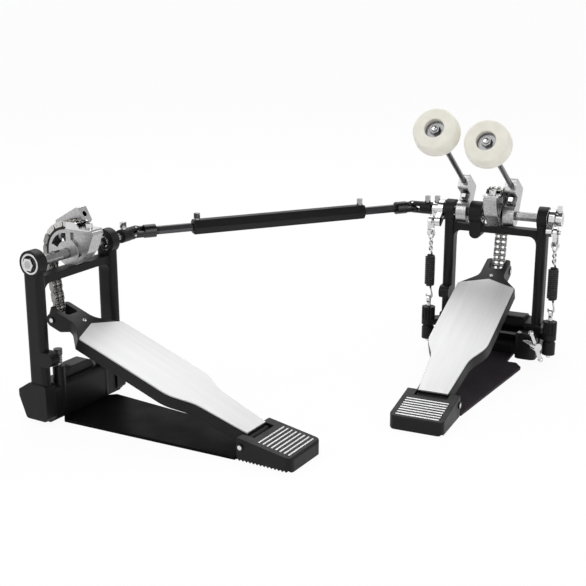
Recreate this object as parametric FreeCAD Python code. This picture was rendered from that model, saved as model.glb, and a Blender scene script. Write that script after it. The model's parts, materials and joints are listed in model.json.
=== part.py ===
"""Double bass drum pedal.

A main pedal carries two beaters. A second pedal drives the left one through a telescopic shaft
with a universal joint at each end.

Millimetres. X runs along the main axle to the player's right, Y forward to the drum, Z up. The
origin is on the floor under the middle of the main axle. The second pedal is built in the same
frame as the main one and then set in its place.
"""
import FreeCAD, Part
import math
import os

V = FreeCAD.Vector

# Layout of the two pedals
axle_height = 170.0
second_x = -348.5
second_y = -362.7
second_turn_deg = 83.7
stroke_deg = 58.0

# Fits and cuts
fit_gap = 0.05
face_gap = 0.3
overrun = 2.0
tolerance = 1e-6

# Frame casting
post_spacing = 111.0
post_width = 12.0
post_depth = 22.0
post_edge_radius = 5.4
housing_radius = 13.5
housing_length = 11.0
bar_drop = 14.0
bar_height = 8.0
bar_depth = 14.0
bar_corner_radius = 9.0
foot_lift = 5.0
foot_width = 14.0
foot_rear = 12.0
foot_sole_front = 16.0
foot_front = 25.0
foot_step_low = 28.0
foot_step_high = 35.0
foot_top = 44.0
foot_edge_radius = 4.0
boss_height = 72.0
boss_radius = 7.5
boss_reach = 22.0
bridge_rear = 10.0
bridge_front = 20.0
main_bridge_top = 20.0
second_bridge_top = 40.0
bridge_edge_radius = 7.0
second_hump_height = 10.0
second_hump_width = 34.0
split_place_share = 0.47
split_length = 15.0
split_lug_width = 14.0
split_lug_drop = 30.0
split_lug_share = 2 / 3

# Ball bearings
bearing_radius = 11.0
bearing_width = 7.0
bearing_lip = 1.6
bearing_ring = 2.2
bearing_shield_recess = 0.6

# Base plates
plate_thickness = 3.0
plate_front = 22.0
plate_front_half_width = 30.0
plate_rear_half_width = 29.4
main_corner_half_width = 50.8
main_corner_y = -52.0
main_notch_half_width = 42.0
main_notch_y = -39.0
second_corner_half_width = 42.0
second_corner_y = -16.0
second_notch_half_width = 34.0
second_notch_y = -9.0
plate_corner_radius = 3.0
plate_tongue_gap = 1.0

# Heel block
heel_half_width = 28.9
heel_length = 62.0
heel_pin_inset = 6.0
heel_slot_back = 9.0
heel_slot_gap = 1.2
heel_rear_height = 14.0
heel_front_height = 24.0
heel_edge_radius = 3.0
heel_corner_radius = 7.0
heel_tooth_pitch = 4.0
heel_tooth_depth = 1.8
grip_count = 8
grip_length = 46.0
grip_width = 2.0
grip_edge_share = 0.25
grip_pitch = 4.7
grip_height = 1.3
grip_sink = 0.8
grip_rear_margin = 6.0

# Footboard
hinge_y = -225.0
hinge_z = 14.0
hinge_pin_radius = 3.0
hinge_barrel_radius = 7.0
pin_head_radius = 3.7
pin_head_length = 1.0
deck_top = 8.6
deck_thickness = 3.0
skirt_depth = 12.0
skirt_wall = 3.0
board_heel_s = 2.6
board_heel_half_width = 16.8
board_waist_s = 64.0
board_waist_half_width = 21.7
board_flare_s = 89.0
board_flare_half_width = 34.4
board_shoulder_back = 52.1
board_neck_back = 30.1
board_neck_half_width = 14.4
board_tip_length = 6.9
board_curve_radius = 38.0
board_shoulder_radius = 3.0
board_neck_radius = 16.0
board_tip_radius = 4.0
toe_slot_half_width = 8.2
toe_slot_back = 14.1
toe_ear_back = 26.1
toe_pin_drop = 3.25
toe_ear_radius = 7.0
toe_pin_radius = 1.8
rib_thickness = 2.4
rib_depth = 6.0
rib_count = 4
tread_thickness = 1.5
tread_inset = 0.7
tread_apex_back = 39.1

# Chain, two strands wide
chain_pitch = 6.35
chain_radius = 30.0
chain_lean_deg = 8.3
hanging_links = 11
lower_links = 3
upper_links = 2
fixed_links = 4
chain_half_width = 7.0
link_height = 5.4
plate_gauge = 0.8
plate_gap = 0.2
chain_pin_radius = 0.95
chain_pin_head = 0.3
roller_radius = 1.7

# Axles, cams and beater holders
axle_across = 9.5
journal_radius = 4.0
collar_gap = 0.5
cam_half_width = 7.6
cam_rim_radius = 26.0
cam_rim_wall = 5.0
cam_hub_radius = 12.5
cam_rim_low_deg = -9.0
cam_rim_high_deg = 90.0
cam_spoke_low_deg = -1.0
cam_spoke_high_deg = 21.0
cam_land = 26.0
cam_back_y = -37.0
cam_back_z = 23.0
cam_belly_y = -29.0
cam_belly_z = 4.0
cam_heel_y = -13.0
cam_heel_z = -11.0
cam_edge_radius = 2.4
cam_belly_radius = 12.0
cam_pocket_depth = 2.5
cam_pocket_wall = 3.5
clip_gauge = 1.5
clip_rear = -34.0
clip_cheek_share = 2 / 3
clip_cheek_rear = -15.0
clip_cheek_front = -2.0
clip_height = 7.5
clip_screw_y = -25.0
clip_screw_radius = 4.0
clip_screw_height = 5.0
clip_socket_radius = 1.9
clip_socket_depth = 2.5
holder_low_x = 9.6
holder_width = 13.0
left_holder_place_share = 0.82
left_holder_width = 12.0
holder_ring_radius = 13.0
holder_web_low = -12.0
holder_web_high = 6.0
holder_block_high = 24.0
holder_block_wall = 9.0
holder_edge_radius = 2.5
holder_bolt_offset = 15.3
rod_offset = 29.5
rod_radius = 3.0
rod_tail = 5.0
main_lean_deg = 60.2
left_lean_deg = 57.4
main_beater_reach = 160.0
left_beater_reach = 167.5

# Beater heads
head_radius = 25.5
head_length = 31.0
head_neck_radius = 19.0
head_full_share = 0.42
head_edge_radius = 6.5
head_neck_edge_radius = 5.0
head_bowl_radius = 10.8
head_bowl_depth = 8.0
cup_gauge = 1.2
cup_gap = 0.3
beater_nut_across = 10.0
beater_nut_height = 5.0

# Key bolts
bolt_shank_radius = 2.5
bolt_flange_radius = 3.6
bolt_flange_height = 1.6
bolt_head_across = 5.2
bolt_head_height = 6.0

# Rockers, ring links and return springs
rocker_gap = 2.5
rocker_hub_width = 6.5
rocker_end_width = 7.5
rocker_hub_radius = 12.0
rocker_end_radius = 8.3
rocker_reach = 20.0
rocker_drop_deg = 35.0
rocker_arm_radius = 6.0
rocker_pin_radius = 2.5
rocker_pin_proud = 2.0
spring_inset = 3.0
spring_y = -18.1
ring_gauge = 3.4
ring_thickness = 4.0
ring_hole_width = 10.0
ring_hole_height = 17.0
ring_slack = 1.2
coil_radius = 5.1
coil_wire_radius = 1.1
gap_neighbours = 5
coil_least_pitch = 2.85
lower_hook_length = 15.0
upper_hook_length = 25.93
hook_rise = 9.0
hook_sweep_deg = 205.0

# Spring adjusters
eye_radius = 5.0
eye_hole_radius = 2.6
eye_thickness = 3.4
eye_height = 62.0
eye_shank_radius = 2.5
eye_shank_low = 8.0
lug_low = 30.0
lug_high = 37.5
lug_radius = 8.0
lug_root_share = 0.25
lug_bore_gap = 0.4
nut_gap = 0.2
upper_nut_radius = 8.0
upper_nut_drop = 5.0
lower_nut_radius = 7.5
lower_nut_low = 12.0
lower_nut_shoulder = 26.0
lower_nut_neck_radius = 5.2
nut_flute_count = 12
nut_flute_radius = 0.9

# Universal joints and drive shaft
main_joint_reach = 26.9
second_joint_reach = 41.0
yoke_radius = 7.4
yoke_slot_half = 4.25
yoke_ear_half = 3.5
yoke_slot_depth = 10.8
axle_yoke_length = 24.0
axle_yoke_bore_start = 13.0
shaft_yoke_length = 24.0
joint_pin_radius = 1.6
joint_pin_gap = 0.7
joint_block_half = 3.8
joint_block_depth_half = 3.2
joint_pin_end_gap = 0.5
rod_across = 8.6
tube_across = 16.0
tube_start = 67.5
rod_engagement = 62.0
tube_bolt_inset = 5.5
tube_chamfer = 1.2

# Hoop clamp
jaw_inset = 14.5
jaw_pivot_y = 12.0
jaw_pivot_z = 32.0
jaw_pin_radius = 4.0
jaw_pin_length = 6.0
jaw_tail_y = -9.0
jaw_tail_low = 38.0
jaw_top = 50.0
jaw_nose_y = 58.0
jaw_nose_root_y = 44.0
jaw_nose_top = 31.0
jaw_nose_low = 21.0
jaw_under = 23.5
jaw_edge_radius = 4.0
jaw_crown_radius = 14.0
jaw_nose_half_width = 24.0
jaw_side_radius = 10.0
lower_jaw_front = 62.0
lower_jaw_top = 9.0
lower_jaw_half_width = 28.0
lower_jaw_lip = 2.0
lower_jaw_lip_length = 4.0
wing_block_width = 25.0
wing_block_proud = 5.5
wing_block_rear = -30.0
wing_block_front = -12.0
wing_block_top = 36.0
wing_block_radius = 7.0
wing_turn_deg = 45.0
wing_bolt_height = 28.0
wing_start_inset = 6.5
wing_start_y = -22.5
wing_shank_radius = 3.0
wing_shank_length = 27.0
wing_bore_gap = 0.4
wing_hub_radius = 5.0
wing_hub_length = 10.0
wing_bar_radius = 2.5
wing_bar_length = 37.0
wing_tip_radius = 3.2
wing_rest_deg = 24.0

# Spur bolts of the second pedal
spur_x = 33.0
spur_y = -4.0
spur_radius = 2.5
spur_tip_low = 0.4
spur_tip_length = 5.0
spur_boss_radius = 6.5
spur_boss_top = 57.0
spur_head_low = 69.0
spur_head_high = 75.0
spur_head_radius = 4.6
spur_bore_gap = 0.3
spur_coil_wire_radius = 0.7
spur_coil_turns = 4

# End nut of the second axle
end_nut_across = 12.0
end_nut_height = 3.0

# Values that follow from the sizes above
post_x = post_spacing / 2
housing_inner_x = post_x - housing_length / 2
housing_outer_x = post_x + housing_length / 2
split_x = -housing_inner_x * split_place_share
left_holder_x = -housing_inner_x * left_holder_place_share
rocker_inner_x = housing_outer_x + rocker_gap
rocker_step_x = rocker_inner_x + rocker_hub_width
rocker_outer_x = rocker_step_x + rocker_end_width
rocker_pin_end_x = rocker_outer_x + rocker_pin_proud
spring_x = rocker_outer_x - spring_inset
main_joint_x = -rocker_outer_x - main_joint_reach
second_joint_x = housing_outer_x + second_joint_reach
jaw_half_width = post_x - jaw_inset
wing_block_high_x = post_x + wing_block_proud
wing_block_low_x = wing_block_high_x - wing_block_width
wing_start_x = wing_block_low_x + wing_start_inset
bar_top = axle_height - bar_drop
bar_low = bar_top - bar_height
split_lug_low = axle_height - split_lug_drop
stroke = math.radians(stroke_deg)
chain_lean = math.radians(chain_lean_deg)
heel_front = hinge_y + heel_pin_inset
heel_rear = heel_front - heel_length
heel_slot_rear = hinge_y - heel_slot_back
chain_step = 2 * math.asin(chain_pitch / (2 * chain_radius))
leave_y = chain_radius * math.cos(chain_lean)
leave_z = axle_height - chain_radius * math.sin(chain_lean)
toe_pin_y = leave_y - hanging_links * chain_pitch * math.sin(chain_lean)
toe_pin_z = leave_z - hanging_links * chain_pitch * math.cos(chain_lean)
toe_arm = math.hypot(toe_pin_y - hinge_y, toe_pin_z - hinge_z)
toe_rise = math.atan2(toe_pin_z - hinge_z, toe_pin_y - hinge_y)
board_angle = toe_rise + math.asin(toe_pin_drop / toe_arm)
toe_s = math.sqrt(toe_arm ** 2 - toe_pin_drop ** 2)
board_tip_s = toe_s + board_tip_length
toe_slot_s = toe_s - toe_slot_back
toe_ear_s = toe_s - toe_ear_back
board_neck_s = toe_s - board_neck_back
tread_apex_s = toe_s - tread_apex_back
board_shoulder_s = toe_s - board_shoulder_back
deck_low = deck_top - deck_thickness
skirt_low = deck_top - skirt_depth
rocker_drop = math.radians(rocker_drop_deg)
rocker_pin_y = -rocker_reach * math.cos(rocker_drop)
rocker_pin_z = axle_height - rocker_reach * math.sin(rocker_drop)
ring_hole_top = rocker_pin_z + rocker_pin_radius + ring_slack
ring_bar_z = ring_hole_top - ring_hole_height - ring_gauge / 2
coil_low = eye_height + lower_hook_length
coil_length = ring_bar_z - upper_hook_length - coil_low
coil_turns = int(coil_length / coil_least_pitch)
coil_pitch = coil_length / coil_turns
upper_nut_high = eye_height - eye_radius - upper_nut_drop

second_place = FreeCAD.Placement(
    V(second_x, second_y, 0), FreeCAD.Rotation(V(0, 0, 1), second_turn_deg))
main_joint = V(main_joint_x, 0, axle_height)
second_joint = second_place.multVec(V(second_joint_x, 0, axle_height))
shaft_length = (second_joint - main_joint).Length
shaft_axis = (second_joint - main_joint) / shaft_length
second_axis = second_place.Rotation.multVec(V(1, 0, 0))

# Angles that the axles and the shaft turn through, with the joints square at mid-stroke
main_bend = math.acos(shaft_axis.dot(V(-1, 0, 0)))
second_bend = math.acos(shaft_axis.dot(-second_axis))
shaft_stroke = 2 * math.atan(math.tan(stroke / 2) * math.cos(main_bend))
second_stroke = 2 * math.atan(math.tan(shaft_stroke / 2) / math.cos(second_bend))


def cylinder(radius, start, end):
    axis = end - start
    return Part.makeCylinder(radius, axis.Length, start, axis)


def block(low, high):
    size = high - low
    return Part.makeBox(size.x, size.y, size.z, low)


def joined(shapes):
    return shapes[0].fuse(shapes[1:]).removeSplitter()


def group(shapes):
    return Part.makeCompound(shapes)


def mirrored(shape):
    return shape.mirror(V(0, 0, 0), V(1, 0, 0))


def both_sides(shape):
    return [shape, mirrored(shape)]


def outline(corners, place):
    """Closed wire of straight sides with round corners; a corner is (u, v, radius)."""
    runs = []
    for index, (u, v, radius) in enumerate(corners):
        before = corners[index - 1]
        after = corners[(index + 1) % len(corners)]
        here = V(u, v, 0)
        back = (V(before[0], before[1], 0) - here).normalize()
        ahead = (V(after[0], after[1], 0) - here).normalize()
        half = back.getAngle(ahead) / 2
        if radius == 0:
            runs.append([here])
            continue
        cut = radius / math.tan(half)
        depth = radius / math.sin(half) - radius
        middle = here + (back + ahead).normalize() * depth
        runs.append([here + back * cut, middle, here + ahead * cut])
    edges = []
    for index, run in enumerate(runs):
        spots = [place(point.x, point.y) for point in run]
        following = runs[(index + 1) % len(runs)][0]
        if len(spots) > 1:
            edges.append(Part.Arc(*spots).toShape())
        target = place(following.x, following.y)
        if not spots[-1].isEqual(target, tolerance):
            edges.append(Part.makeLine(spots[-1], target))
    return Part.Wire(edges)


def side_prism(corners, low_x, high_x):
    """Profile in (y, z), drawn out along X."""
    face = Part.Face(outline(corners, lambda y, z: V(low_x, y, z)))
    return face.extrude(V(high_x - low_x, 0, 0))


def front_prism(corners, low_y, high_y):
    """Profile in (x, z), drawn out along Y."""
    face = Part.Face(outline(corners, lambda x, z: V(x, low_y, z)))
    return face.extrude(V(0, high_y - low_y, 0))


def flat_prism(corners, low_z, high_z):
    """Profile in (x, y), drawn out along Z."""
    face = Part.Face(outline(corners, lambda x, y: V(x, y, low_z)))
    return face.extrude(V(0, 0, high_z - low_z))


def symmetric(half):
    """Whole outline from its right half, listed as (x, y, radius) from one end to the other."""
    return half + [(-x, y, radius) for x, y, radius in reversed(half)]


def stadium(start, end, radius, place):
    """Face round two centres in the (y, z) plane."""
    along = (end - start).normalize()
    side = V(0, -along.z, along.y) * radius
    wire = Part.Wire([
        Part.makeLine(place(start + side), place(end + side)),
        Part.Arc(place(end + side), place(end + along * radius), place(end - side)).toShape(),
        Part.makeLine(place(end - side), place(start - side)),
        Part.Arc(place(start - side), place(start - along * radius), place(start + side)).toShape(),
    ])
    return Part.Face(wire)


def stadium_plate(start, end, radius, low_x, high_x):
    face = stadium(start, end, radius, lambda point: V(low_x, point.y, point.z))
    return face.extrude(V(high_x - low_x, 0, 0))


def hexagon(across, start, end, flat):
    """Hexagonal prism between two points, one flat facing the given way."""
    axis = (end - start).normalize()
    side = axis.cross(flat)
    reach = across / math.sqrt(3)
    corners = []
    for index in range(6):
        turn = math.radians(30 + 60 * index)
        corners.append(start + flat * (reach * math.cos(turn)) + side * (reach * math.sin(turn)))
    return Part.Face(Part.makePolygon(corners + corners[:1])).extrude(end - start)


def axes_placement(origin, x_axis, z_axis):
    y_axis = z_axis.cross(x_axis)
    return FreeCAD.Placement(origin, FreeCAD.Rotation(x_axis, y_axis, z_axis, "ZXY"))


def placed(shape, placement):
    result = shape.copy()
    result.Placement = placement.multiply(result.Placement)
    return result


def axle_point(x):
    return V(x, 0, axle_height)


def on_axle(y, z, x=0):
    """Point given from the axle's centre."""
    return V(x, y, axle_height + z)


# Frame castings

def post_with_housing():
    half_width = post_width / 2
    half_depth = post_depth / 2
    section = [
        (post_x - half_width, -half_depth, post_edge_radius),
        (post_x + half_width, -half_depth, post_edge_radius),
        (post_x + half_width, half_depth, post_edge_radius),
        (post_x - half_width, half_depth, post_edge_radius),
    ]
    post = flat_prism(section, foot_lift, axle_height)
    half_length = housing_length / 2
    housing = cylinder(housing_radius, axle_point(post_x - half_length),
                       axle_point(post_x + half_length))
    foot = side_prism([
        (-foot_rear, foot_lift, foot_edge_radius),
        (foot_sole_front, foot_lift, foot_edge_radius),
        (foot_front, foot_step_low, foot_edge_radius),
        (foot_front, foot_step_high, foot_edge_radius / 2),
        (post_depth / 2, foot_top, 0),
        (-foot_rear, foot_top, foot_edge_radius),
    ], post_x - foot_width / 2, post_x + foot_width / 2)
    return [post, housing, foot]


def crossbar():
    inner = post_x - post_width / 2
    gusset_low = bar_low - bar_corner_radius
    return front_prism([
        (-post_x, bar_top, 0),
        (post_x, bar_top, 0),
        (post_x, gusset_low, 0),
        (inner, gusset_low, 0),
        (inner, bar_low, bar_corner_radius),
        (-inner, bar_low, bar_corner_radius),
        (-inner, gusset_low, 0),
        (-post_x, gusset_low, 0),
    ], -bar_depth / 2, bar_depth / 2)


def bridge(top):
    return side_prism([
        (-bridge_rear, plate_thickness, 0),
        (bridge_front, plate_thickness, 0),
        (bridge_front, top, bridge_edge_radius),
        (-bridge_rear, top, bridge_edge_radius),
    ], -post_x, post_x)


def rear_boss():
    centre_y = boss_radius - boss_reach
    start = V(-post_x - post_width / 2, centre_y, boss_height)
    end = V(post_width / 2 - post_x, centre_y, boss_height)
    web = block(V(start.x, centre_y, boss_height - boss_radius),
                V(end.x, 0, boss_height + boss_radius))
    return joined([cylinder(boss_radius, start, end), web])


def bearing_seat():
    """Bore of one post housing, open outwards with a lip on the inner side."""
    inner = housing_inner_x
    seat = cylinder(bearing_radius + fit_gap, axle_point(inner + bearing_lip),
                    axle_point(post_x + housing_length))
    eye = cylinder(bearing_radius - bearing_lip, axle_point(inner - overrun), axle_point(post_x))
    return [seat, eye]


def split_housing():
    """Middle housing of the main frame, which holds the ends of both axles."""
    half_length = split_length / 2
    half_lug = split_lug_width / 2
    ring = cylinder(housing_radius, axle_point(split_x - half_length),
                    axle_point(split_x + half_length))
    lug = front_prism([
        (split_x - half_lug, axle_height, 0),
        (split_x + half_lug, axle_height, 0),
        (split_x + half_lug, split_lug_low, half_lug - face_gap),
        (split_x - half_lug, split_lug_low, half_lug - face_gap),
    ], -housing_radius * split_lug_share, housing_radius * split_lug_share)
    return [ring, lug]


def spring_lug():
    """Arm from a post to the ring that carries the spring's eye bolt."""
    ring = cylinder(lug_radius, V(spring_x, spring_y, lug_low), V(spring_x, spring_y, lug_high))
    root = V(post_x, -post_depth * lug_root_share, 0)
    along = (V(spring_x, spring_y, 0) - root).normalize()
    side = V(-along.y, along.x, 0) * lug_radius
    tip = V(spring_x, spring_y, 0)
    corners = [root + side, tip + side, tip - side, root - side]
    arm = flat_prism([(point.x, point.y, 0) for point in corners], lug_low, lug_high)
    return joined([ring, arm])


def lug_bore():
    radius = eye_shank_radius + lug_bore_gap
    return cylinder(radius, V(spring_x, spring_y, lug_low - overrun),
                    V(spring_x, spring_y, lug_high + overrun))


def wing_axis():
    turn = math.radians(wing_turn_deg)
    return V(math.cos(turn), -math.sin(turn), 0)


def wing_block():
    """Foot of the right post, thickened for the wing bolt."""
    body = flat_prism([
        (wing_block_low_x, wing_block_rear, wing_block_radius),
        (wing_block_high_x, wing_block_rear, wing_block_radius),
        (wing_block_high_x, 0, 0),
        (jaw_half_width + face_gap, 0, 0),
        (jaw_half_width + face_gap, wing_block_front, 0),
        (wing_block_low_x, wing_block_front, 0),
    ], foot_lift, wing_block_top)
    edges = [edge for edge in body.Edges if edge.BoundBox.ZMin > wing_block_top - face_gap
             and edge.BoundBox.YMax < wing_block_front]
    return body.makeFillet(wing_block_radius / 2, edges)


def wing_bore():
    axis = wing_axis()
    start = V(wing_start_x, wing_start_y, wing_bolt_height)
    return cylinder(wing_shank_radius + wing_bore_gap, start - axis * face_gap,
                    start + axis * wing_shank_length)


def lower_jaw():
    profile = [
        (0, plate_thickness, 0),
        (lower_jaw_front, plate_thickness, 0),
        (lower_jaw_front, lower_jaw_top + lower_jaw_lip, lower_jaw_lip / 2),
        (lower_jaw_front - lower_jaw_lip_length, lower_jaw_top + lower_jaw_lip, lower_jaw_lip / 2),
        (lower_jaw_front - lower_jaw_lip_length, lower_jaw_top, 0),
        (0, lower_jaw_top, 0),
    ]
    return side_prism(profile, -lower_jaw_half_width, lower_jaw_half_width)


def jaw_sockets():
    reach = jaw_half_width + jaw_pin_length + face_gap
    return cylinder(jaw_pin_radius + fit_gap, V(-reach, jaw_pivot_y, jaw_pivot_z),
                    V(reach, jaw_pivot_y, jaw_pivot_z))


def axle_clearance(x):
    """Hole through the middle housing for its two bearings."""
    half_length = split_length / 2 + overrun
    return cylinder(bearing_radius + fit_gap, axle_point(x - half_length),
                    axle_point(x + half_length))


def jaw_cheek():
    """Inner face of a foot, which carries one trunnion of the jaw."""
    return side_prism([
        (-foot_rear, foot_lift, foot_edge_radius),
        (foot_front, foot_lift, foot_edge_radius),
        (foot_front, foot_top, foot_edge_radius),
        (-foot_rear, foot_top, foot_edge_radius),
    ], jaw_half_width + face_gap, post_x)


def main_frame():
    posts = post_with_housing()
    solids = posts + [mirrored(piece) for piece in posts]
    solids += [crossbar(), bridge(main_bridge_top), rear_boss(), lower_jaw(), wing_block()]
    solids += split_housing() + both_sides(spring_lug()) + both_sides(jaw_cheek())
    cuts = [wing_bore(), jaw_sockets(), axle_clearance(split_x)] + both_sides(lug_bore())
    for seat in bearing_seat():
        cuts += both_sides(seat)
    return joined(solids).cut(cuts)


def spur_boss():
    return cylinder(spur_boss_radius, V(spur_x, spur_y, plate_thickness),
                    V(spur_x, spur_y, spur_boss_top))


def spur_bore():
    low = plate_thickness - overrun
    return cylinder(spur_radius + spur_bore_gap, V(spur_x, spur_y, low),
                    V(spur_x, spur_y, spur_boss_top + overrun))


def second_hump():
    """Raised middle of the second frame's bridge."""
    half_width = second_hump_width / 2
    top = second_bridge_top + second_hump_height
    return front_prism([
        (-half_width - second_hump_height, second_bridge_top - second_hump_height, 0),
        (half_width + second_hump_height, second_bridge_top - second_hump_height, 0),
        (half_width, top, second_hump_height),
        (-half_width, top, second_hump_height),
    ], -bridge_rear + bridge_edge_radius, bridge_front - bridge_edge_radius)


def second_frame():
    posts = post_with_housing()
    solids = posts + [mirrored(piece) for piece in posts]
    solids += [crossbar(), bridge(second_bridge_top), rear_boss(),
               second_hump()] + both_sides(spur_boss())
    cuts = both_sides(spur_bore())
    for seat in bearing_seat():
        cuts += both_sides(seat)
    return joined(solids).cut(cuts)


def bearing(centre_x):
    """Ball bearing with its shield set back between the rings."""
    half_width = bearing_width / 2
    low = axle_point(centre_x - half_width)
    high = axle_point(centre_x + half_width)
    recess = V(bearing_shield_recess, 0, 0)
    body = cylinder(bearing_radius, low, high)
    inner_wall = journal_radius + fit_gap + bearing_ring
    cuts = [cylinder(journal_radius + fit_gap, low - V(overrun, 0, 0), high + V(overrun, 0, 0))]
    for start, end in ((low - recess, low + recess), (high - recess, high + recess)):
        groove = cylinder(bearing_radius - bearing_ring, start,
                          end).cut(cylinder(inner_wall, start, end))
        cuts.append(groove)
    return body.cut(cuts)


def post_bearing_x():
    return housing_inner_x + bearing_lip + bearing_width / 2


def main_bearings():
    offset = (bearing_width + fit_gap) / 2
    places = [-post_bearing_x(), split_x - offset, split_x + offset, post_bearing_x()]
    return group([bearing(x) for x in places])


def second_bearings():
    return group([bearing(-post_bearing_x()), bearing(post_bearing_x())])


# Base plates and heel blocks

def base_plate(corner_half_width, corner_y, notch_half_width, notch_y):
    tongue = board_heel_half_width - plate_tongue_gap
    half = [
        (tongue, heel_slot_rear, 0),
        (tongue, heel_front, 0),
        (plate_rear_half_width, heel_front, 0),
        (corner_half_width, corner_y, plate_corner_radius),
        (notch_half_width, notch_y, plate_corner_radius),
        (plate_front_half_width, notch_y, plate_corner_radius),
        (plate_front_half_width, plate_front, plate_corner_radius),
    ]
    return flat_prism(symmetric(half), 0, plate_thickness)


def main_base_plate():
    return base_plate(main_corner_half_width, main_corner_y, main_notch_half_width, main_notch_y)


def second_base_plate():
    plate = base_plate(second_corner_half_width, second_corner_y, second_notch_half_width,
                       second_notch_y)
    hole = cylinder(spur_radius + spur_bore_gap, V(spur_x, spur_y, -overrun),
                    V(spur_x, spur_y, plate_thickness + overrun))
    return plate.cut(both_sides(hole))


def heel_top(y):
    share = (y - heel_rear) / (heel_front - heel_rear)
    return heel_rear_height + share * (heel_front_height - heel_rear_height)


def heel_block():
    corners = []
    count = int((heel_front - heel_rear) / heel_tooth_pitch)
    margin = (heel_front - heel_rear - count * heel_tooth_pitch) / 2
    corners.append((heel_front, heel_front_height, heel_edge_radius))
    corners.append((heel_rear, heel_rear_height, heel_edge_radius))
    corners.append((heel_rear, 0, 0))
    for index in range(count):
        start = heel_rear + margin + index * heel_tooth_pitch
        corners.append((start, 0, 0))
        corners.append((start + heel_tooth_pitch / 2, heel_tooth_depth, 0))
    corners.append((heel_front - margin, 0, 0))
    corners.append((heel_front, 0, 0))
    wedge = side_prism(corners, -heel_half_width, heel_half_width)
    plan = flat_prism(symmetric([
        (heel_half_width, heel_front, heel_corner_radius / 2),
        (heel_half_width, heel_rear, heel_corner_radius),
    ]), -overrun, heel_front_height + overrun)
    slot_half = board_heel_half_width + heel_slot_gap
    slot = block(V(-slot_half, heel_slot_rear, -overrun),
                 V(slot_half, heel_front + overrun, heel_front_height + overrun))
    reach = heel_half_width + overrun
    pin_hole = cylinder(hinge_pin_radius + fit_gap, V(-reach, hinge_y, hinge_z),
                        V(reach, hinge_y, hinge_z))
    grooves = [heel_grip(index, fit_gap) for index in range(grip_count)]
    return wedge.common(plan).cut([slot, pin_hole] + grooves)


def heel_grip(index, gap):
    """One grip bar, let into the sloping top of the heel block."""
    centre = heel_rear + grip_rear_margin + index * grip_pitch
    rise = (heel_front_height - heel_rear_height) / (heel_front - heel_rear)
    half_width = grip_width / 2 + gap
    half_length = grip_length / 2 + gap
    low_y = centre - half_width
    high_y = centre + half_width
    low_z = heel_top(centre) - grip_sink - gap
    high_z = low_z + grip_height
    corners = [
        (low_y, low_z - rise * half_width, 0),
        (high_y, low_z + rise * half_width, 0),
        (high_y, high_z + rise * half_width, grip_width * grip_edge_share),
        (low_y, high_z - rise * half_width, grip_width * grip_edge_share),
    ]
    return side_prism(corners, -half_length, half_length)


def heel_grips():
    return group([heel_grip(index, 0) for index in range(grip_count)])


# Footboards

def board_point(s, n, x=0):
    """Point at s along the footboard and n square to it, from the heel hinge."""
    y = hinge_y + s * math.cos(board_angle) - n * math.sin(board_angle)
    z = hinge_z + s * math.sin(board_angle) + n * math.cos(board_angle)
    return V(x, y, z)


def board_prism(corners, low_n, high_n):
    """Outline in (x, s), drawn out square to the footboard."""
    face = Part.Face(outline(corners, lambda x, s: board_point(s, low_n, x)))
    return face.extrude(board_point(0, high_n) - board_point(0, low_n))


def board_side(corners, low_x, high_x):
    """Profile in (s, n), drawn out along X."""
    face = Part.Face(outline(corners, lambda s, n: board_point(s, n, low_x)))
    return face.extrude(V(high_x - low_x, 0, 0))


def board_half_outline(inset):
    return [
        (board_heel_half_width - inset, board_heel_s + inset, 0),
        (board_waist_half_width - inset, board_waist_s, board_curve_radius),
        (board_flare_half_width - inset, board_flare_s, board_curve_radius),
        (board_flare_half_width - inset, board_shoulder_s - inset, board_shoulder_radius),
    ]


def toe_ears():
    ear_low = -toe_pin_drop - toe_ear_radius
    ear = board_side([
        (toe_ear_s, deck_top, 0),
        (toe_ear_s, skirt_low, 0),
        (toe_slot_s, ear_low, toe_ear_radius),
        (toe_s, ear_low, 0),
        (toe_s, deck_top, 0),
    ], toe_slot_half_width, board_neck_half_width)
    start = V(toe_slot_half_width, toe_pin_y, toe_pin_z)
    end = V(board_neck_half_width, toe_pin_y, toe_pin_z)
    return joined([ear, cylinder(toe_ear_radius, start, end)])


def footboard():
    neck = [
        (board_neck_half_width, board_neck_s, board_neck_radius),
        (board_neck_half_width, board_tip_s, board_tip_radius),
    ]
    deck = board_prism(symmetric(board_half_outline(0) + neck), skirt_low, deck_top)
    hollow = board_prism(symmetric(board_half_outline(skirt_wall)), skirt_low - overrun, deck_low)
    ribs = []
    span = board_shoulder_s - board_flare_s
    for index in range(rib_count):
        s = board_flare_s + span * index / rib_count
        ribs.append(block(V(-board_flare_half_width + skirt_wall / 2, s, deck_low - rib_depth),
                          V(board_flare_half_width - skirt_wall / 2, s + rib_thickness,
                            deck_low + face_gap)))
    spine = block(V(-rib_thickness / 2, board_heel_s + hinge_barrel_radius, deck_low - rib_depth),
                  V(rib_thickness / 2, board_shoulder_s, deck_low + face_gap))
    tilt = FreeCAD.Placement(V(0, hinge_y, hinge_z), FreeCAD.Rotation(V(1, 0, 0), math.degrees(board_angle)))
    webs = [placed(rib, tilt) for rib in ribs + [spine]]
    half_barrel = board_heel_half_width
    barrel = cylinder(hinge_barrel_radius, V(-half_barrel, hinge_y, hinge_z),
                      V(half_barrel, hinge_y, hinge_z))
    slot = board_prism(symmetric([
        (toe_slot_half_width, toe_slot_s, toe_slot_half_width / 2),
        (toe_slot_half_width, board_tip_s + overrun, 0),
    ]), skirt_low - overrun, deck_top + overrun)
    reach = board_flare_half_width
    heel_hole = cylinder(hinge_pin_radius + fit_gap, V(-reach, hinge_y, hinge_z),
                         V(reach, hinge_y, hinge_z))
    toe_hole = cylinder(toe_pin_radius + fit_gap, V(-reach, toe_pin_y, toe_pin_z),
                        V(reach, toe_pin_y, toe_pin_z))
    body = joined([deck.cut(hollow)] + webs + [barrel])
    return joined([body.cut(slot)] + both_sides(toe_ears())).cut([heel_hole, toe_hole])


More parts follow.
